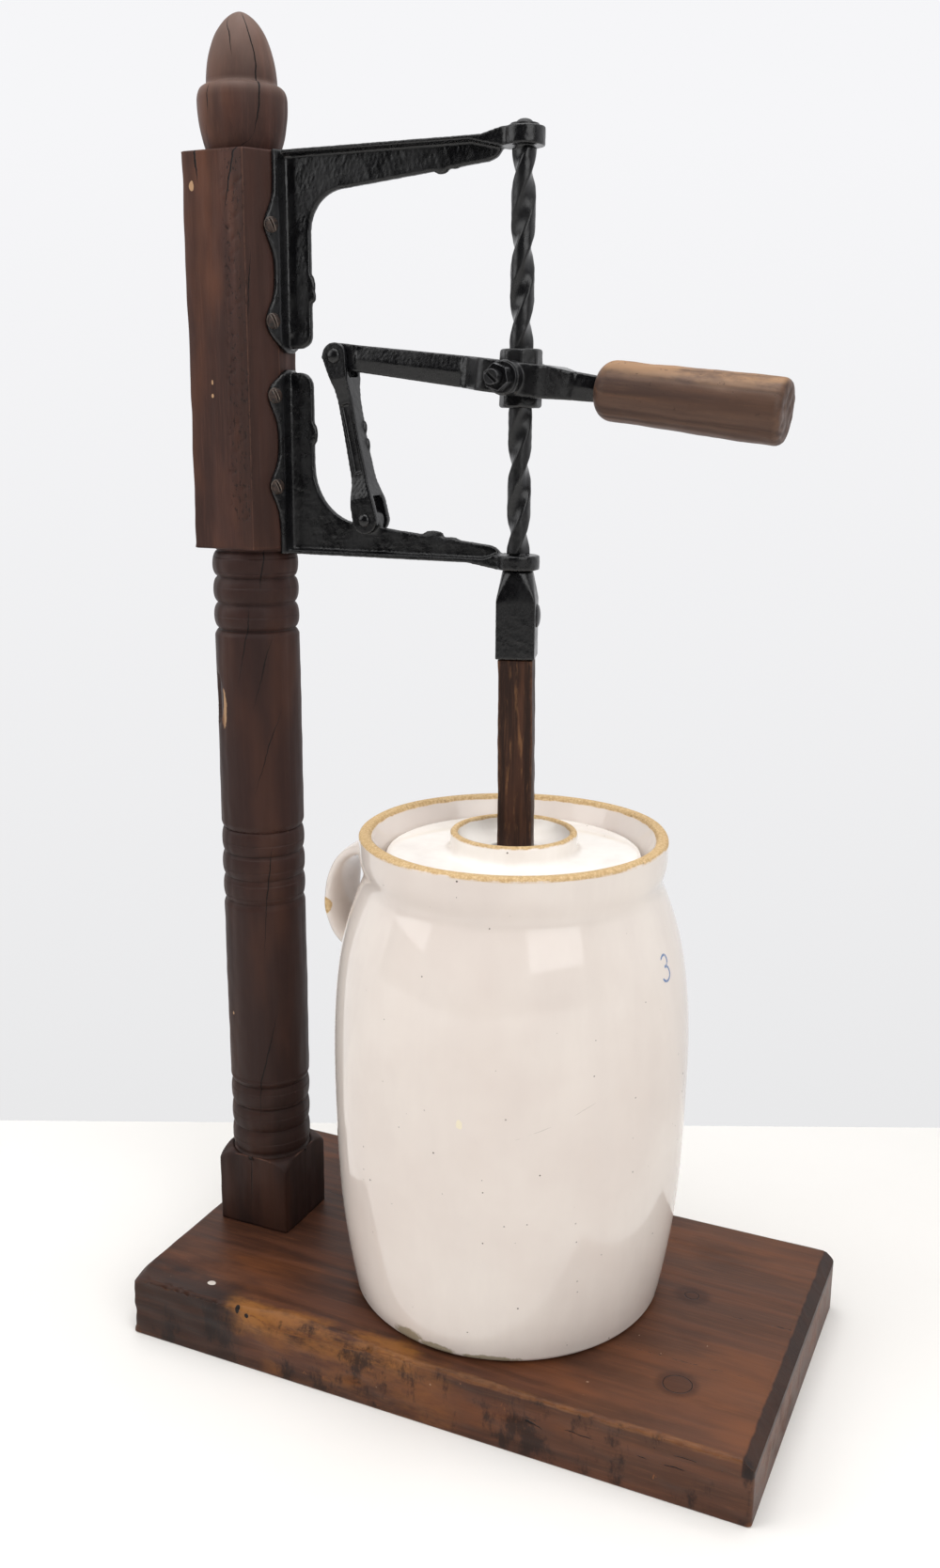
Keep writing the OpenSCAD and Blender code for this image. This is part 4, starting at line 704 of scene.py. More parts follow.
def bow(centre, size, start, stop, count):
    # Points of an ellipse's arc between two angles in degrees
    t = np.radians(np.linspace(start, stop, count))
    return np.column_stack([centre[0] + size[0] * np.cos(t), centre[1] + size[1] * np.sin(t)])


def revolve(profile, count, step):
    # Each profile row (radius, height) becomes a ring about Z: x = r cos a, y = r sin a
    rows = alongLevels(profile, step)
    angle = np.linspace(0, 2 * np.pi, count, endpoint=False)
    grid = np.empty((len(rows), count, 3))
    grid[..., 0] = rows[:, :1] * np.cos(angle)
    grid[..., 1] = rows[:, :1] * np.sin(angle)
    grid[..., 2] = rows[:, 1:2]
    return grid * mm


def makeCrock():
    s = crockShape
    # Outside up to the rim's lip, with the pinch under the band rounded by a running mean
    h = np.arange(5, s["height"] - 6, 1.5)
    outside = np.where(h < s["neckAt"], crockRadius(h, s), s["neck"] + (s["rim"] - s["neck"]) * fade(h, s["neckAt"], s["neckAt"] + 15))
    outside[3:-3] = np.convolve(outside, np.ones(7) / 7, "valid")
    inner = s["rim"] - s["rimWidth"]
    wallR, ledgeR = inner - 9, inner - 9 - s["ledge"]
    ledgeZ = s["height"] - s["ledgeDrop"]
    down = np.linspace(ledgeZ - 22, s["floor"] + 12, 50)
    inside = np.minimum(crockRadius(down, s) - s["wall"], ledgeR + (ledgeZ - 22 - down) * 0.9)
    profile = np.vstack([
        [[2, 0], [s["foot"] - 8, 0]], bow((crockRadius(5.0, s) - 5, 5), (5, 5), -90, -8, 7), np.column_stack([outside, h]),
        bow((s["rim"] - 3, s["height"] - 3), (3, 3), 0, 90, 7), bow((inner + 2, s["height"] - 2), (2, 2), 90, 170, 5),
        [[wallR + 2, ledgeZ + 9]], bow((wallR - 1.5, ledgeZ + 1.5), (1.5, 1.5), 0, -90, 5), bow((ledgeR + 1.5, ledgeZ - 1.5), (1.5, 1.5), 90, 180, 5),
        np.column_stack([inside, down]), bow((inside[-1] - 14, s["floor"] + 12), (14, 12), -8, -90, 8), [[2, s["floor"]]]])
    grid = revolve(profile + [0, s["onPlank"]], 200, 3.2)
    radius = np.linalg.norm(grid[..., :2], axis=-1)
    push = 0.45 * mm * waves(grid, 110 * mm, 21)
    push *= fade(radius, 30 * mm, 60 * mm) * fade(grid[..., 2], 48 * mm, 60 * mm)
    grid[..., :2] *= (1 + push / np.maximum(radius, mm))[..., None]
    made = skin("crockBody", grid)

    def bare(tree, vector):
        top = (s["onPlank"] + s["height"]) * mm
        ring = ringBand(tree, vector, (inner - 2.4) * mm, (s["rim"] - 0.4) * mm, top - 2.6 * mm)
        return ring

    def marks(tree, vector):
        # A pale chip, a hairline, moss-coloured stains round the foot, and the 3 for its gallons in blue
        flat = unrolled(tree, vector, 0, 118)
        chip = marksOf(tree, flat, spotMask, [flatSpot((-169, 229), (1.8, 3.2), 0.5)])
        hair = marksOf(tree, flat, lineMask, [flatCrack((-137, 221), (-112, 230), 0.35, 2), flatCrack((-112, 230), (-84, 243), 0.3, 2)])
        stain = marksOf(tree, flat, spotMask, [flatSpot((-214, 53), (9, 4.5), 0.5, 0.6), flatSpot((-190, 50.5), (10, 3), 0.5, 0.6), flatSpot((-150, 50), (16, 2), 0.5, 0.6)])
        parts = add(tree, "SeparateXYZ", {0: flat}).outputs
        x, z = (math2(tree, "SUBTRACT", parts[i], at * mm) for i, at in ((0, -17.5), (2, 315.0)))
        three = None
        for up, size, side in ((4.6, 3.9, 1), (-4.0, 4.8, -1)):
            off = math2(tree, "SUBTRACT", z, up * mm)
            reach = math2(tree, "SQRT", math2(tree, "ADD", math2(tree, "MULTIPLY", x, x), math2(tree, "MULTIPLY", off, off)))
            line = span(tree, math2(tree, "ABSOLUTE", math2(tree, "SUBTRACT", reach, size * mm)), 1.0 * mm, 0.6 * mm)
            gap = math2(tree, "MULTIPLY", span(tree, x, -0.6 * mm, -0.9 * mm), span(tree, math2(tree, "MULTIPLY", off, side), 0.45 * size * mm, 0.35 * size * mm))
            line = math2(tree, "MULTIPLY", line, math2(tree, "SUBTRACT", 1.0, gap))
            three = line if three is None else math2(tree, "MAXIMUM", three, line)
        front = span(tree, add(tree, "SeparateXYZ", {0: vector}).outputs[0], 0.0, 10 * mm)
        ink = span(tree, noise(tree, vector, 500.0, 3.0, 0.6), 0.3, 0.55, 0.45, 0.95)
        three = math2(tree, "MULTIPLY", math2(tree, "MULTIPLY", three, ink), front)
        return [(math2(tree, "MULTIPLY", hair, 0.35), "#8f857c"), (math2(tree, "MULTIPLY", stain, 0.7), "#7f7146"), (chip, "#eadfc6"), (three, "#4a6fa5")]

    place(made, "frame", glazeMaterial("crockGlaze", bare, marks), "stoneware", "crock", "crock_bottom", "crock_rim")


def makeHandle():
    # A strap with rounded edges carried along half a ring, spreading where it meets the wall
    s, c = handleShape, crockShape
    t = np.radians(np.linspace(90, 270, 61))
    u = np.linspace(0, 2 * np.pi, 40, endpoint=False)
    end = np.abs(np.cos(t)) * 0 + fade(np.abs(np.degrees(t) - 180), 62, 90)
    thick = s["thick"] / 2 * (1 + 0.5 * end)
    width = s["width"] / 2 * (1 + 0.25 * end)
    across = np.sign(np.cos(u)) * np.abs(np.cos(u)) ** 0.8
    side = np.sign(np.sin(u)) * np.abs(np.sin(u)) ** 0.6
    ring = (s["radius"] - s["thick"] / 2) + thick[:, None] * across
    grid = np.empty((len(t), len(u), 3))
    grid[..., 0] = s["centreX"] + (ring + s["reach"] - s["radius"]) * np.cos(t)[:, None]
    grid[..., 1] = width[:, None] * side
    grid[..., 2] = c["onPlank"] + c["height"] - s["drop"] + ring * np.sin(t)[:, None]
    grid += 0.4 * waves(grid, 30, 31)[..., None]
    made = skin("crockHandle", grid * mm)

    def bare(tree, vector):
        return marksOf(tree, vector, spotMask, [spot((-139, -23, 322), (5, 5, 5.5), 0.15)])

    place(made, "frame", glazeMaterial("handleGlaze", bare), "stoneware", "crock_handle")


def makeLid():
    s, c = lidShape, crockShape
    outer = c["rim"] - c["rimWidth"] - 9 - s["gap"]
    top = s["thick"] + s["collarUp"]
    edge = s["collar"] - s["collarWidth"]
    profile = np.vstack([
        [[s["hole"], 2]], bow((s["hole"] + 2, 2), (2, 2), 180, 270, 4), [[outer - 3, 0], [outer, 3]],
        bow((outer - 4, s["thick"] - 4), (4, 4), 0, 90, 6), bow((s["collar"] + 5, s["thick"] + 5), (5, 5), 270, 180, 7),
        bow((s["collar"] - 2.5, top - 2.5), (2.5, 2.5), 0, 90, 6), bow((edge + 2, top - 2), (2, 2), 90, 150, 4),
        bow((s["hole"] + 4, top), (edge - s["hole"] - 4, s["collarUp"]), -10, -80, 12), bow((s["hole"] + 2, s["thick"] - 2), (2, 2), 90, 180, 4),
        [[s["hole"], 4]]])
    grid = revolve(profile + [0, c["onPlank"] + c["height"] - c["ledgeDrop"]], 160, 2.4)
    made = skin("crockLid", grid[:-1], wrapRows=True)

    def bare(tree, vector):
        high = (c["onPlank"] + c["height"] - c["ledgeDrop"] + top) * mm
        return ringBand(tree, vector, (edge - 0.5) * mm, (s["collar"] - 0.6) * mm, high - 1.6 * mm)

    # The lid gets paler glaze colours than the crock: painted top light
    place(made, "lid", glazeMaterial("lidGlaze", bare, None, "#f4ede5", "#faf6f1"), "stoneware", "crock_lid")


makeCrock()
makeHandle()
makeLid()
print("crock, handle and lid made")


# The plank: a thick board, bevelled at its right end, worn down along the left of its front edge and splintered along the right
plankShape = {"left": -250.0, "right": 220.0, "half": 128.0, "thick": 47.0, "corner": 3.0, "endBevel": (8.0, 7.0), "wornBevel": (10.0, 8.0),
              "wornFrom": -165.0, "wornTo": -15.0}


def plankOutline(s):
    # The outline's points, anticlockwise from the right front corner, with rounded corners
    cx, hx, hy, c = (s["left"] + s["right"]) / 2, (s["right"] - s["left"]) / 2, s["half"], s["corner"]
    sides = []
    for a, b in (((hx, -hy), (hx, hy)), ((hx, hy), (-hx, hy)), ((-hx, hy), (-hx, -hy)), ((-hx, -hy), (hx, -hy))):
        a, b = np.array(a, float), np.array(b, float)
        long = np.linalg.norm(b - a)
        way = (b - a) / long
        side = a + way * np.linspace(c, long - c, int(long / 1.7))[:, None]
        turn = np.radians(math.degrees(math.atan2(way[1], way[0])) - 90 + np.array([18, 36, 54, 72]))
        middle = b - way * c + np.array([-way[1], way[0]]) * c
        sides.append(np.vstack([side, middle + c * np.column_stack([np.cos(turn), np.sin(turn)])]))
    return np.vstack(sides), cx


def makePlank():
    # Rows are copies of the outline: shrunk toward the middle across the top, full size down the sides, shrunk again below.
    # The top is then held under the bevels: z = thick - the deepest of the cuts there.
    s = plankShape
    outline, cx = plankOutline(s)
    top = s["thick"]
    shares = np.concatenate([np.linspace(0.02, 0.88, 16), np.linspace(0.892, 0.998, 17)])
    rows = [(k, top) for k in shares] + [(1, z) for z in np.concatenate([np.linspace(top - 0.4, 34, 14), np.linspace(32, 1.5, 16), [0.6]])]
    rows += [(0.997, 0), (0.9, 0), (0.6, 0), (0.3, 0), (0.02, 0)]
    grid = np.empty((len(rows), len(outline), 3))
    for row, (share, z) in enumerate(rows):
        grid[row, :, :2] = outline * share + [cx, 0]
        grid[row, :, 2] = z
    x, y, z = (grid[..., i].copy() for i in range(3))
    ripple, chips = waves(grid * [1, 0.2, 0.2], 70, 41), waves(grid * [1, 0.3, 0.3], 9, 43)
    inEnd, inFront, inBack, inLeft = s["right"] - x, y + s["half"], s["half"] - y, x - s["left"]
    wide, deep = s["endBevel"]
    cuts = [deep * np.clip(1 - inEnd / (wide + 0.8 * ripple), 0, 1)]
    worn = fade(x, s["wornFrom"], s["wornFrom"] + 45) * (1 - fade(x, s["wornTo"] - 70, s["wornTo"]))
    wide = 1.6 + (s["wornBevel"][0] - 1.6) * worn * (0.85 + 0.2 * ripple) + 1.3 * np.clip(chips, 0, 2) * (1 - worn)
    deep = 1.5 + (s["wornBevel"][1] - 1.5) * worn * (0.9 + 0.15 * ripple) + 1.4 * np.clip(chips, 0, 2) * (1 - worn)
    cuts += [deep * np.clip(1 - inFront / wide, 0, 1) ** 1.3, 1.6 * np.clip(1 - inBack / 1.8, 0, 1), 2.0 * np.clip(1 - inLeft / 2.4, 0, 1)]
    corner = np.hypot(np.clip(30 - inLeft, 0, 30), np.clip(26 - inFront, 0, 26)) / 38
    cuts.append(5.0 * np.clip(corner - 0.72, 0, 1) / 0.28)
    grid[..., 2] = np.minimum(z, top - np.maximum.reduce(cuts))
    side = fade(z, 2, 6)
    gouge = np.exp(-((x + 62) / 9) ** 2 - ((z - 17) / 2.2) ** 2) + 0.7 * np.exp(-((x - 62) / 12) ** 2 - ((z - 27) / 1.6) ** 2)
    grid[..., 1] += fade(-y, 120, 127.5) * (0.45 + 0.45 * waves(grid * [0.35, 0, 1], 14, 44) + 2.2 * gouge) * side
    grid[..., 1] += fade(-y, 126, 128) * 1.5 * worn * fade(z, 30, 42)
    grid[..., 0] += fade(-x, 245, 250) * (0.5 + 0.5 * waves(grid * [0, 0.5, 1], 16, 45) + 2.0 * np.clip(corner - 0.6, 0, 1)) * side
    grid[..., 2] += 0.22 * waves(grid * [0.5, 1, 0], 40, 42) * fade(z, 40, 46) * fade(-np.maximum.reduce(cuts), -0.4, 0)
    made = skin("basePlank", grid * mm)
    markEdges(made, 500.0)
    place(made, "frame", plankMaterial(), "old_wood", "base_plank")


# The post: one square piece turned between its foot and its block, with an acorn on top
postShape = {"x": -205.0, "half": 30.5, "footTop": 107.0, "block": (577.0, 838.0), "turned": 30.6, "beads": (137.0, 342.0, 547.0),
             "depths": (2.4, 2.4, 4.0), "pitch": 18.6, "bend": 11.0, "lean": 32.0, "cupHeight": 42.0, "throat": 24.4, "cup": 30.2,
             "egg": 23.6, "top": 926.0, "dents": 70}


def squareRadius(angle, half, power):
    # Distance from the axis to a square with softened corners
    return half / (np.abs(np.cos(angle)) ** power + np.abs(np.sin(angle)) ** power) ** (1 / power)


def blockRadius(angle, half, s):
    # The square's radius, cut by the two flats planed on its +X corners; log-sum-exp takes the smaller and softens the edge
    lean = math.radians(s["lean"])
    reach = half * math.cos(lean) + s["bend"] * math.sin(lean)
    flats = [reach / np.maximum(np.cos(angle + side * lean), 0.2) for side in (-1, 1)]
    return -np.log(sum(np.exp(-3.0 * r) for r in (squareRadius(angle, half, 40), *flats))) / 3.0


def postLevels(s):
    # Stations up the post as (height, kind, size): 1 square foot, 2 its shoulder, 3 round, 4 planed block
    rows = [(47, 1, s["half"])] + [(z, 1, s["half"]) for z in np.linspace(49, s["footTop"] - 13, 14)]
    for t in np.radians(np.linspace(4, 90, 14)):
        rows.append((s["footTop"] - 13 + 13 * math.sin(t), 2, s["turned"] + (s["half"] * math.sqrt(2) - s["turned"]) * math.cos(t)))
    groups = list(zip(s["beads"], s["depths"]))
    close = [np.arange(c - 1.5 * s["pitch"] - 5, c + 1.5 * s["pitch"] + 5, 0.8) for c, _ in groups]
    stops = np.unique(np.concatenate([np.arange(s["footTop"] + 0.3, s["block"][0], 2.6)] + close))
    stops = stops[stops < s["block"][0] - 0.3]
    radius = np.full(len(stops), s["turned"])
    for centre, depth in groups:
        share = (stops - centre) / s["pitch"] + 1.5
        inside = (share >= 0) & (share <= 3)
        wave = 1 - np.abs(2 * (share % 1) - 1) ** 2.2
        radius = np.where(inside, s["turned"] - depth + depth * np.sqrt(np.clip(wave, 0, 1)), radius)
        edge = np.minimum(np.abs(share), np.abs(share - 3)) * s["pitch"]
        radius = np.where(~inside & (edge < 4.5), s["turned"] - depth * (1 - np.sqrt(np.clip(edge / 4.5, 0, 1))), radius)
    rows += [(z, 3, r) for z, r in zip(stops, radius)]
    low, high = s["block"]
    inner = np.concatenate([[low + 0.5, low + 1.6], np.linspace(low + 3, high - 3, 190), [high - 1.6, high - 0.5]])
    rows += [(low, 3, radius[-1]), (low, 4, s["half"] - 1.0)] + [(z, 4, s["half"]) for z in inner] + [(high, 4, s["half"] - 1.0)]
    # The cup swells from its throat as 1 - (1 - t)^2 and rolls over a round lip; the egg is a quarter of a drawn-out ellipse
    rows += [(high, 3, s["throat"] + 0.8), (high + 0.6, 3, s["throat"])]
    swell, lip = s["cup"] - s["throat"], 9
    rows += [(high + 0.6 + t * (s["cupHeight"] - lip), 3, s["throat"] + swell * (1 - (1 - t) ** 2.2)) for t in np.linspace(0.03, 1, 30)]
    rows += [(high + s["cupHeight"] - lip + lip * math.sin(t), 3, s["egg"] + (s["cup"] - s["egg"]) * math.cos(t) ** 0.8) for t in np.radians(np.linspace(6, 86, 14))]
    tall = s["top"] - high - s["cupHeight"]
    rows += [(high + s["cupHeight"] + t * tall, 3, s["egg"] * (1 - t ** 2.05) ** 0.58) for t in np.sin(np.radians(np.linspace(2, 88.8, 40)))]
    return rows


def makePost():
    s = postShape
    corners = np.radians([45, 135, 225, 315])
    bends = [math.atan2(side * s["bend"], s["half"]) for side in (-1, 1)]
    backs = [math.atan2(side * s["half"], s["half"] - (s["half"] - s["bend"]) * math.tan(math.radians(s["lean"]))) for side in (-1, 1)]
    angle = around(190, [*corners, *bends, *backs], 0.03)
    rows = postLevels(s)
    grid = np.empty((len(rows), len(angle), 3))
    for row, (z, kind, size) in enumerate(rows):
        r = np.full(len(angle), float(size))
        if kind in (1, 2):
            r = np.minimum(squareRadius(angle, s["half"], 26), size if kind == 2 else 99)
        elif kind == 4:
            r = blockRadius(angle, size, s)
        grid[row] = np.column_stack([r * np.cos(angle), r * np.sin(angle), np.full(len(angle), z)])
    x, y, z = grid[..., 0], grid[..., 1], grid[..., 2].copy()
    push = 0.25 * waves(grid * [1, 1, 0.25], 40, 51) + 0.12 * waves(grid * [1, 1, 0.5], 12, 52)
    chip = np.linalg.norm((grid - [-22, -22.5, 468]) / [11, 11, 20], axis=-1)
    push -= 2.8 * fade(-chip, -1.0, -0.84)
    # Small slanted dents along the front face beside the planed corner, and worn front and left corners
    rng = np.random.default_rng(54)
    for _ in range(s["dents"]):
        at = [rng.uniform(2, 16), rng.uniform(s["block"][0] + 12, s["block"][1] - 12), rng.uniform(-0.6, 0.6)]
        across, up = x - at[0], z - at[1] - at[2] * (x - at[0])
        push -= rng.uniform(0.3, 0.9) * np.exp(-(across / rng.uniform(1.2, 2.4)) ** 2 - (up / rng.uniform(0.6, 1.4)) ** 2) * (y < -24)
    block = fade(z, s["block"][0], s["block"][0] + 4) * fade(-z, -s["block"][1], 2 - s["block"][1])
    worn = fade(-x - y, 54, 62) * (0.6 + 0.4 * waves(grid * [0, 0, 1], 50, 53)) * block
    push -= 0.9 * worn
    top = fade(z, 915, 926)
    grid[..., :2] *= (1 + push * (1 - top) / np.maximum(np.linalg.norm(grid[..., :2], axis=-1), 1))[..., None]
    grid[..., 0] += s["x"]
    made = skin("postTurned", grid * mm)
    markEdges(made, 700.0)
    place(made, "frame", postMaterial(), "old_wood", "post")


makePlank()
makePost()
print("plank and post made")


# The grip, turned, worn and cut flat at its far end; it lies along the lever
leverLine = {"pivot": (0.0, 0.0, 692.2), "tilt": 6.5, "drop": 0.5}
gripShape = {"start": 53.4, "length": 121.0, "near": 18.5, "far": 20.5, "nose": 11.0, "edge": 5.5}
rodShape = {"turn": 17.0, "low": 73.0, "high": 545.0, "head": 10.75, "neck": 11.8, "foot": 13.1, "shoulder": 511.2, "lean": 1.5}


def alongLever(points):
    # From the lever's own frame (x out to the grip) into the part's frame: turned by the tilt about Y, then moved to the pivot
    c, n = math.cos(math.radians(leverLine["tilt"])), math.sin(math.radians(leverLine["tilt"]))
    x, y, z = points[..., 0], points[..., 1], points[..., 2]
    return np.stack([x * c + z * n, y, z * c - x * n], axis=-1) + leverLine["pivot"]


def makeGrip():
    s = gripShape
    profile = np.vstack([[[0.6, 0]], bow((s["near"] - s["nose"], s["nose"]), (s["nose"], s["nose"]), -86, 0, 14),
                         bow((s["far"] - s["edge"], s["length"] - s["edge"]), (s["edge"], s["edge"]), 0, 90, 6), [[1, s["length"]]]])
    rows = alongLevels(profile, 1.8)
    angle = np.linspace(0, 2 * np.pi, 110, endpoint=False)
    grid = np.stack([np.broadcast_to(rows[:, 1:2] + s["start"], (len(rows), 110)), rows[:, :1] * np.cos(angle), rows[:, :1] * np.sin(angle) - leverLine["drop"]], axis=-1)
    push = 0.2 * waves(grid, 40, 61) + 0.05 * waves(grid, 9, 62)
    push *= fade(np.linalg.norm(grid[..., 1:], axis=-1), 3, 12)
    grid[..., 1:] *= (1 + push / 20)[..., None]
    grid[..., 0] -= 0.5 * fade(grid[..., 0], s["start"] + s["length"] - 1, s["start"] + s["length"]) * (1 + waves(grid, 14, 63))
    made = skin("leverGrip", alongLever(grid) * mm)
    markEdges(made, 500.0)
    place(made, "lever", gripMaterial(leverLine["tilt"]), "grip_wood", "lever_grip")


def makeRod():
    # A square section with rounded corners carried up from the foot to the shoulder under the socket, then its tenon
    s = rodShape
    angle = around(56, np.radians([45, 135, 225, 315]), 0.1)
    below = np.concatenate([[s["low"]], np.linspace(s["low"] + 1.2, s["shoulder"] - 0.6, 230), [s["shoulder"]]])
    above = np.concatenate([[s["shoulder"]], np.linspace(s["shoulder"] + 3, s["high"] - 1, 8), [s["high"]]])
    half = np.concatenate([np.interp(below, [s["low"], s["shoulder"]], [s["foot"], s["neck"]]), np.full(len(above), s["head"])])
    half[0] -= 1.2
    half[len(below) - 1] -= 0.6
    half[-1] -= 1.0
    z = np.concatenate([below, above])
    r = squareRadius(angle, 1.0, 16)[None] * half[:, None]
    turned = angle + math.radians(s["turn"])
    grid = np.stack([r * np.cos(turned), r * np.sin(turned), np.broadcast_to(z[:, None], r.shape)], axis=-1)
    push = 0.22 * waves(grid * [1, 1, 0.2], 16, 71) + 0.1 * waves(grid * [1, 1, 0.4], 6, 72) - 0.15
    push *= 1 - fade(grid[..., 2], 500, 511)
    grid[..., :2] *= (1 + push / 11)[..., None]
    # It has warped a little to the right on its way down to the lid, and comes back below it
    grid[..., 0] += s["lean"] * np.sin(np.pi * np.clip((s["shoulder"] - grid[..., 2]) / 300, 0, 1))
    made = skin("dasherRod", grid * mm)
    markEdges(made, 700.0)
    place(made, "spindle", rodMaterial(), "rod_wood", "dasher_rod")


makeGrip()
makeRod()
print("grip and rod made")


# The spindle: a round bar with two flats, twisted, between two plain journals
barShape = {"radius": 7.7, "flat": 5.1, "lead": 88.8, "phase": 315.0, "low": 580.6, "high": 830.3, "journal": 6.25, "top": 842.1, "bottom": 546.0}
sleeveShape = {"width": 26.0, "height": 36.5, "middle": 692.2, "gap": 0.4}


def barSection(angle, z, grow):
    # Smaller of the bar's radius and the distance to its two flats, turned with the height; the corner between them is softened
    s = barShape
    turn = angle - np.radians(s["phase"] + 360 * z / s["lead"])
    flat = (s["flat"] + grow) / np.maximum(np.abs(np.cos(turn)), 0.05)
    return -np.log(np.exp(-2.6 * flat) + np.exp(-2.6 * (s["radius"] + grow))) / 2.6


def makeBar():
    s = barShape
    angle = np.linspace(0, 2 * np.pi, 88, endpoint=False)
    z = np.arange(s["low"], s["high"], 1.05)
    body = barSection(angle[None], z[:, None], 0.0)
    journal = np.full((1, 88), s["journal"])
    rows = [journal, journal, journal * 0.9, body, journal * 0.9, journal, journal]
    places = [[s["bottom"]], [s["low"] - 1], [s["low"]], z, [s["high"]], [s["high"] + 0.5], [s["top"]]]
    r, z = np.vstack(rows), np.concatenate(places)
    grid = np.stack([r * np.cos(angle), r * np.sin(angle), np.broadcast_to(z[:, None], r.shape)], axis=-1)
    rivet = revolve(np.vstack([[[4, s["top"]], [4, s["top"] + 1.7]], bow((0, s["top"] + 1.7), (5.4, 2.9), 0, 86, 7)]), 88, 1.2) / mm
    grid = np.concatenate([grid, rivet])
    grid[..., :2] *= (1 + 0.012 * waves(grid, 7, 81))[..., None]
    made = skin("spiralShaft", grid * mm)
    markEdges(made, 900.0)
    place(made, "spindle", shaftIron, "shaft_iron", "spiral_shaft")


def makeSleeve():
    # Rows close on themselves: up the octagon's outside, over the top, down the bore and back
    s = sleeveShape
    angle = around(96, np.radians(np.arange(22.5, 360, 45)), 0.05)
    apothem = s["width"] / 2
    octagon = apothem / np.cos((angle + np.pi / 8) % (np.pi / 4) - np.pi / 8)
    half = s["height"] / 2
    outer = [(-half, 1.6), (-half + 0.6, 0.5), (-half + 1.8, 0)] + [(v, 0) for v in np.linspace(-half + 4, half - 4, 16)] + [(half - 1.8, 0), (half - 0.6, 0.5), (half, 1.6)]
    rows = [np.minimum(octagon, apothem * 1.055 - draw) for _, draw in outer]
    places = [s["middle"] + v for v, _ in outer]
    for v in np.linspace(half, -half, 30):
        rows.append(barSection(angle, s["middle"] + v, s["gap"] + (0.8 if abs(v) > half - 0.8 else 0)))
        places.append(s["middle"] + v)
    r, z = np.array(rows), np.array(places)
    grid = np.stack([r * np.cos(angle), r * np.sin(angle), np.broadcast_to(z[:, None], r.shape)], axis=-1)
    grid[..., :2] *= (1 + 0.006 * waves(grid, 8, 82))[..., None]
    made = skin("sleeveNut", grid * mm, wrapRows=True)
    markEdges(made, 1200.0)
    place(made, "nut", blackIron, "shaft_iron", "sleeve_nut")


blackIron = ironMaterial("blackCastIron", "#060608", "#29282b", 0.7, 0.18, 0.38, 0.35)
shaftIron = ironMaterial("rubbedShaftIron", "#101012", "#343335", 0.68, 0.25, 0.42, 0.3)
rustySteel = rustyMaterial()
makeBar()
makeSleeve()

castings = {
    "upper_bracket": ("upperBracket", "frame", {"voxel": 0.9 * mm, "soften": 4, "rough": 0.05 * mm, "slot": "black_iron"}),
    "lower_bracket": ("lowerBracket", "frame", {"voxel": 0.9 * mm, "soften": 4, "rough": 0.05 * mm, "slot": "black_iron"}),
    "lever": ("leverCasting", "lever", {"voxel": 0.8 * mm, "soften": 3, "rough": 0.03 * mm, "slot": "black_iron"}),
    "link": ("linkCasting", "link", {"voxel": 0.7 * mm, "soften": 3, "rough": 0.03 * mm, "slot": "black_iron"}),
    "rod_socket": ("rodSocket", "spindle", {"voxel": 0.8 * mm, "soften": 3, "rough": 0.03 * mm, "slot": "black_iron"}),
}
# Stubs of gates and flash left on the castings' edges, as (centre, half sizes)
castStubs = {
    "upper_bracket": [((-153.2, 0, 753), (2.2, 2.0, 7)), ((-152.8, 0, 746), (2.4, 1.8, 4)), ((-56.7, 0, 819.8), (5, 2, 2.4)), ((-47, 0, 821.5), (3, 1.6, 1.6))],
    "lower_bracket": [((-153.3, 0, 656), (2.2, 2.0, 7)), ((-62, 0, 591.2), (8, 1.6, 2.8)), ((-49, 0, 588.2), (6, 1.4, 2.0))],
    "link": [((-117.2, 5, 660.5), (2.2, 1.5, 5)), ((-115.0, 5, 649), (2.2, 1.5, 5)), ((-143.9, 0, 707.0), (3.0, 3.4, 2.4))],
}


def castStub(centre, size):
    # An oval blob: half a circle turned round, stretched by its three half sizes
    return skin("castStub", revolve(bow((0, 0), (1, 1), -86, 86, 10), 20, 0.3) * np.array(size) + np.array(centre) * mm)


for node, (name, body, settings) in castings.items():
    casting(name, node, body, blackIron, settings, [castStub(*one) for one in castStubs.get(node, [])])
print("castings made")

fasteners = {
    "upper_bracket_screws": ("upperScrews", "frame", rustySteel, "screw_steel"), "lower_bracket_screws": ("lowerScrews", "frame", rustySteel, "screw_steel"),
    "pivot_screws": ("pivotScrews", "lever", shaftIron, "worn_steel"), "pivot_lock_nuts": ("pivotNuts", "lever", blackIron, "black_iron"),
    "pivot_washers": ("pivotWashers", "lever", blackIron, "black_iron"), "link_upper_pin": ("linkUpperPin", "link", blackIron, "worn_steel"),
    "link_lower_pin": ("linkLowerPin", "frame", blackIron, "worn_steel"), "socket_bolt": ("socketBolt", "spindle", blackIron, "black_iron"),
    "shaft_washer": ("shaftWasher", "spindle", shaftIron, "worn_steel"),
}
for node, (name, body, finish, slotName) in fasteners.items():
    casting(name, node, body, finish, {"voxel": 0.35 * mm, "soften": 2, "rough": 0.015 * mm, "slot": slotName})
print("fasteners made")

hidden = {"post_lag_screws": rustySteel, "dasher_blade_upper": None, "dasher_blade_lower": None, "dasher_pegs": None}
bladeWood = rodMaterial()
for node, finish in hidden.items():
    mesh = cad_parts[node].data
    mesh.materials.clear()
    mesh.materials.append(finish or bladeWood)


# Stage: a pale floor, a pale wall behind it and soft lamps

cameraPlace = {"at": (368.1, -884.1, 666.8), "down": 14.27, "turn": 24.44, "roll": 0.445, "lens": 32.93}
stageLook = {"floor": "#f6f4f1", "wallLow": "#e9e9ea", "wallHigh": "#f6f6f8", "wallFrom": 1275.0}


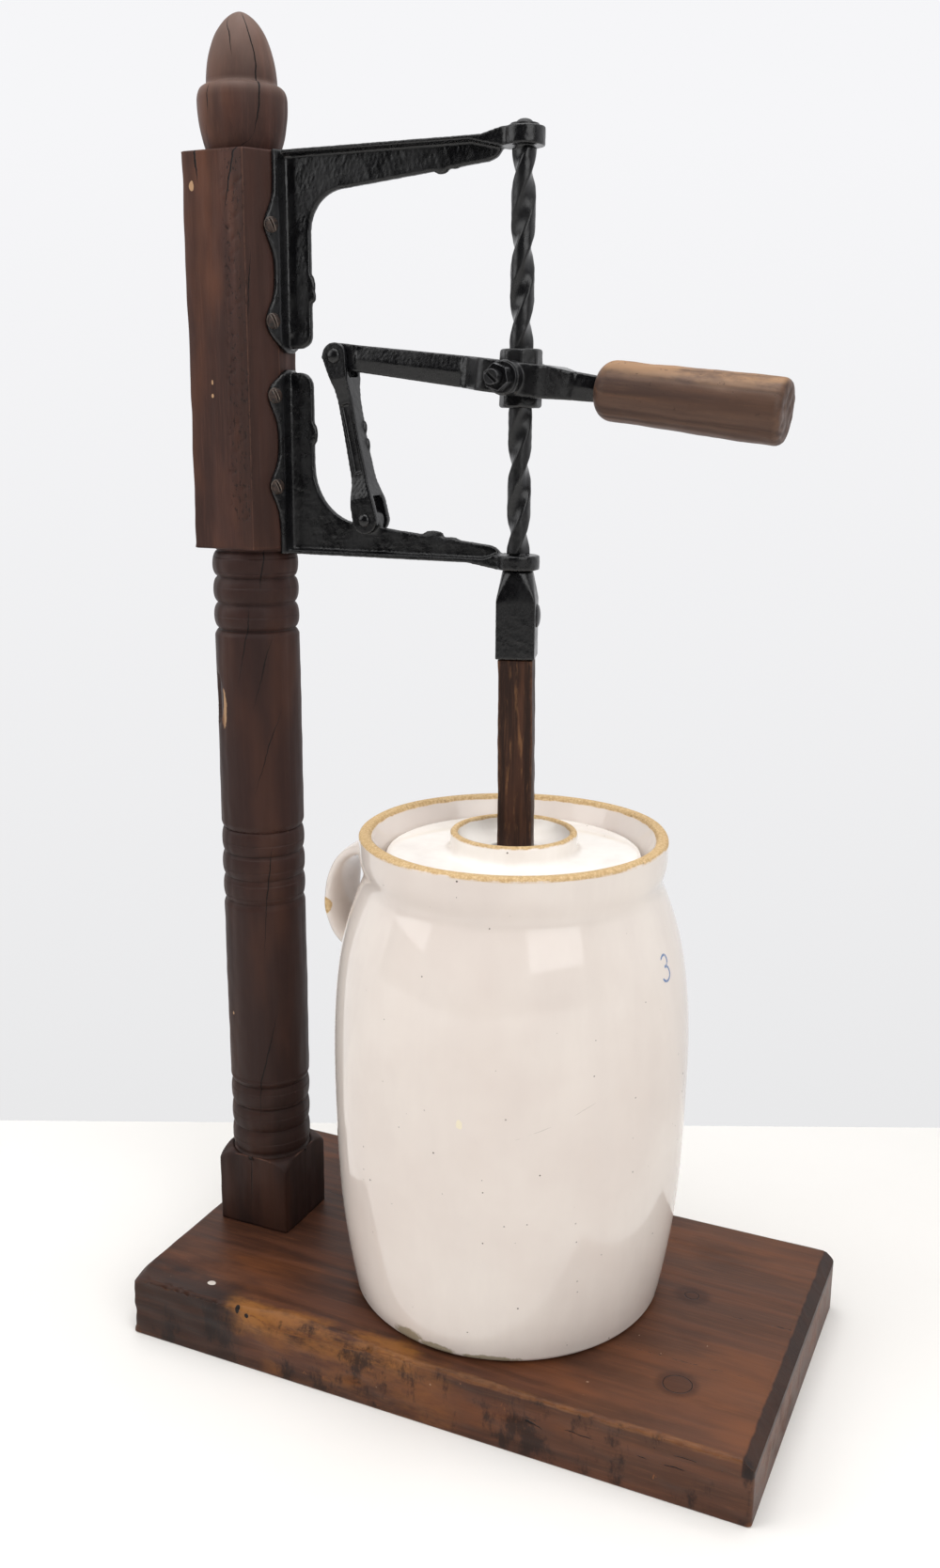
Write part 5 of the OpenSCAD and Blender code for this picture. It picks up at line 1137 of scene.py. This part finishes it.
def floorMaterial():
    made, tree, shader, place3 = startMaterial("paleFloor")
    tone = noise(tree, place3, 3.0, 3.0)
    tree.links.new(blend(tree, tone, colour("#f1eeea"), colour("#f8f6f3")), shader.inputs["Base Color"])
    shader.inputs["Roughness"].default_value = 0.7
    shader.inputs["Specular IOR Level"].default_value = 0.2
    # Past the reach of the lamps the floor shows its plain colour to the camera
    far = span(tree, add(tree, "VectorMath", {0: place3}, operation="LENGTH").outputs["Value"], 0.9, 1.9)
    glow = add(tree, "Emission", {"Color": colour(stageLook["floor"]), "Strength": 1.0})
    path = add(tree, "LightPath").outputs
    clear = math2(tree, "MAXIMUM", math2(tree, "MAXIMUM", path["Is Camera Ray"], path["Is Glossy Ray"]), path["Is Transmission Ray"])
    mix = add(tree, "MixShader", {0: math2(tree, "MULTIPLY", far, clear), 1: shader.outputs[0], 2: glow.outputs[0]})
    output = next(node for node in tree.nodes if node.type == "OUTPUT_MATERIAL")
    tree.links.new(mix.outputs[0], output.inputs[0])
    return made


def makeStage():
    size = 4.0
    verts = np.array([(-size, -size, 0), (size, -size, 0), (size, size, 0), (-size, size, 0)], float)
    mesh = bpy.data.meshes.new("stageFloor")
    mesh.from_pydata((verts - [0, 0, 0.0002]).tolist(), [], [(0, 1, 2, 3)])
    floor = bpy.data.objects.new("stageFloor", mesh)
    bpy.context.scene.collection.objects.link(floor)
    mesh.materials.append(floorMaterial())


def makeWall():
    # A pale wall across the view behind the object; it shows only to the camera and in polished things, and only from its front
    c = cameraPlace
    turn = math.radians(c["turn"])
    away, side = np.array([-math.sin(turn), math.cos(turn), 0]), np.array([math.cos(turn), math.sin(turn), 0])
    foot = np.array([c["at"][0], c["at"][1], 0]) * mm + away * stageLook["wallFrom"] * mm
    verts = [foot - 3 * side, foot + 3 * side, foot + 3 * side + [0, 0, 3], foot - 3 * side + [0, 0, 3]]
    mesh = bpy.data.meshes.new("stageWall")
    mesh.from_pydata([v.tolist() for v in verts], [], [(0, 1, 2, 3)])
    wall = bpy.data.objects.new("stageWall", mesh)
    bpy.context.scene.collection.objects.link(wall)
    made = bpy.data.materials.new("paleWall")
    made.use_nodes = True
    tree = made.node_tree
    tree.nodes.clear()
    path, face = add(tree, "LightPath").outputs, add(tree, "NewGeometry").outputs
    clear = math2(tree, "MAXIMUM", math2(tree, "MAXIMUM", path["Is Camera Ray"], path["Is Glossy Ray"]), path["Is Transmission Ray"])
    shown = math2(tree, "MULTIPLY", clear, math2(tree, "SUBTRACT", 1.0, face["Backfacing"]))
    height = add(tree, "SeparateXYZ", {0: add(tree, "TexCoord").outputs["Object"]}).outputs[2]
    tone = blend(tree, span(tree, height, 0.0, 0.9, smooth=False), colour(stageLook["wallLow"]), colour(stageLook["wallHigh"]))
    glow = add(tree, "Emission", {"Color": tone, "Strength": 1.0})
    mix = add(tree, "MixShader", {0: shown, 1: add(tree, "BsdfTransparent").outputs[0], 2: glow.outputs[0]})
    tree.links.new(mix.outputs[0], tree.nodes.new("ShaderNodeOutputMaterial").inputs[0])
    mesh.materials.append(made)


def makeLamp(name, at, size, power, aim=(0, 0, 0.45)):
    lamp = bpy.data.lights.new(name, "AREA")
    lamp.shape, lamp.size, lamp.energy = "SQUARE", size, power
    made = bpy.data.objects.new(name, lamp)
    bpy.context.scene.collection.objects.link(made)
    way = np.array(aim) - np.array(at)
    made.location = at
    made.rotation_euler = Vector(way).to_track_quat("-Z", "Y").to_euler()


def makeWorld():
    # A low even light; the camera sees a pale backdrop all round, polished things see it behind the object and a dim room before it
    world = bpy.data.worlds.new("studio")
    bpy.context.scene.world = world
    world.use_nodes = True
    tree = world.node_tree
    tree.nodes.clear()
    path = add(tree, "LightPath").outputs
    way = add(tree, "SeparateXYZ", {0: add(tree, "TexCoord").outputs["Generated"]}).outputs
    room = blend(tree, span(tree, way[1], -0.2, 0.3), colour("#333231"), colour("#eeeef1"))
    light = add(tree, "Background", {"Color": (1, 1, 1, 1), "Strength": 0.42})
    gloss = add(tree, "Background", {"Color": room, "Strength": 1.0})
    seen = add(tree, "Background", {"Color": colour("#eeeef1"), "Strength": 1.0})
    mix = add(tree, "MixShader", {0: path["Is Glossy Ray"], 1: light.outputs[0], 2: gloss.outputs[0]})
    clear = math2(tree, "MAXIMUM", path["Is Camera Ray"], path["Is Transmission Ray"])
    mix = add(tree, "MixShader", {0: clear, 1: mix.outputs[0], 2: seen.outputs[0]})
    tree.links.new(mix.outputs[0], tree.nodes.new("ShaderNodeOutputWorld").inputs[0])


def makeCamera():
    c = cameraPlace
    lens = bpy.data.cameras.new("camera")
    lens.lens, lens.sensor_width = c["lens"], 36.0
    made = bpy.data.objects.new("camera", lens)
    bpy.context.scene.collection.objects.link(made)
    made.location = [v * mm for v in c["at"]]
    made.rotation_mode = "XYZ"
    spin = Matrix.Rotation(math.radians(c["turn"]), 4, "Z") @ Matrix.Rotation(math.radians(90 - c["down"]), 4, "X") @ Matrix.Rotation(math.radians(c["roll"]), 4, "Z")
    made.rotation_euler = spin.to_euler()
    bpy.context.scene.camera = made


makeStage()
makeWall()
makeLamp("leftLamp", (-1.7, -1.1, 1.5), 1.6, 16)
makeLamp("rightLamp", (1.7, -1.3, 1.5), 1.6, 19)
makeLamp("topLamp", (0.0, -0.1, 2.4), 2.0, 39, (0, 0, 0))
makeWorld()
makeCamera()
bpy.context.scene.view_settings.view_transform = "Standard"
print("stage, lamps and camera ready")
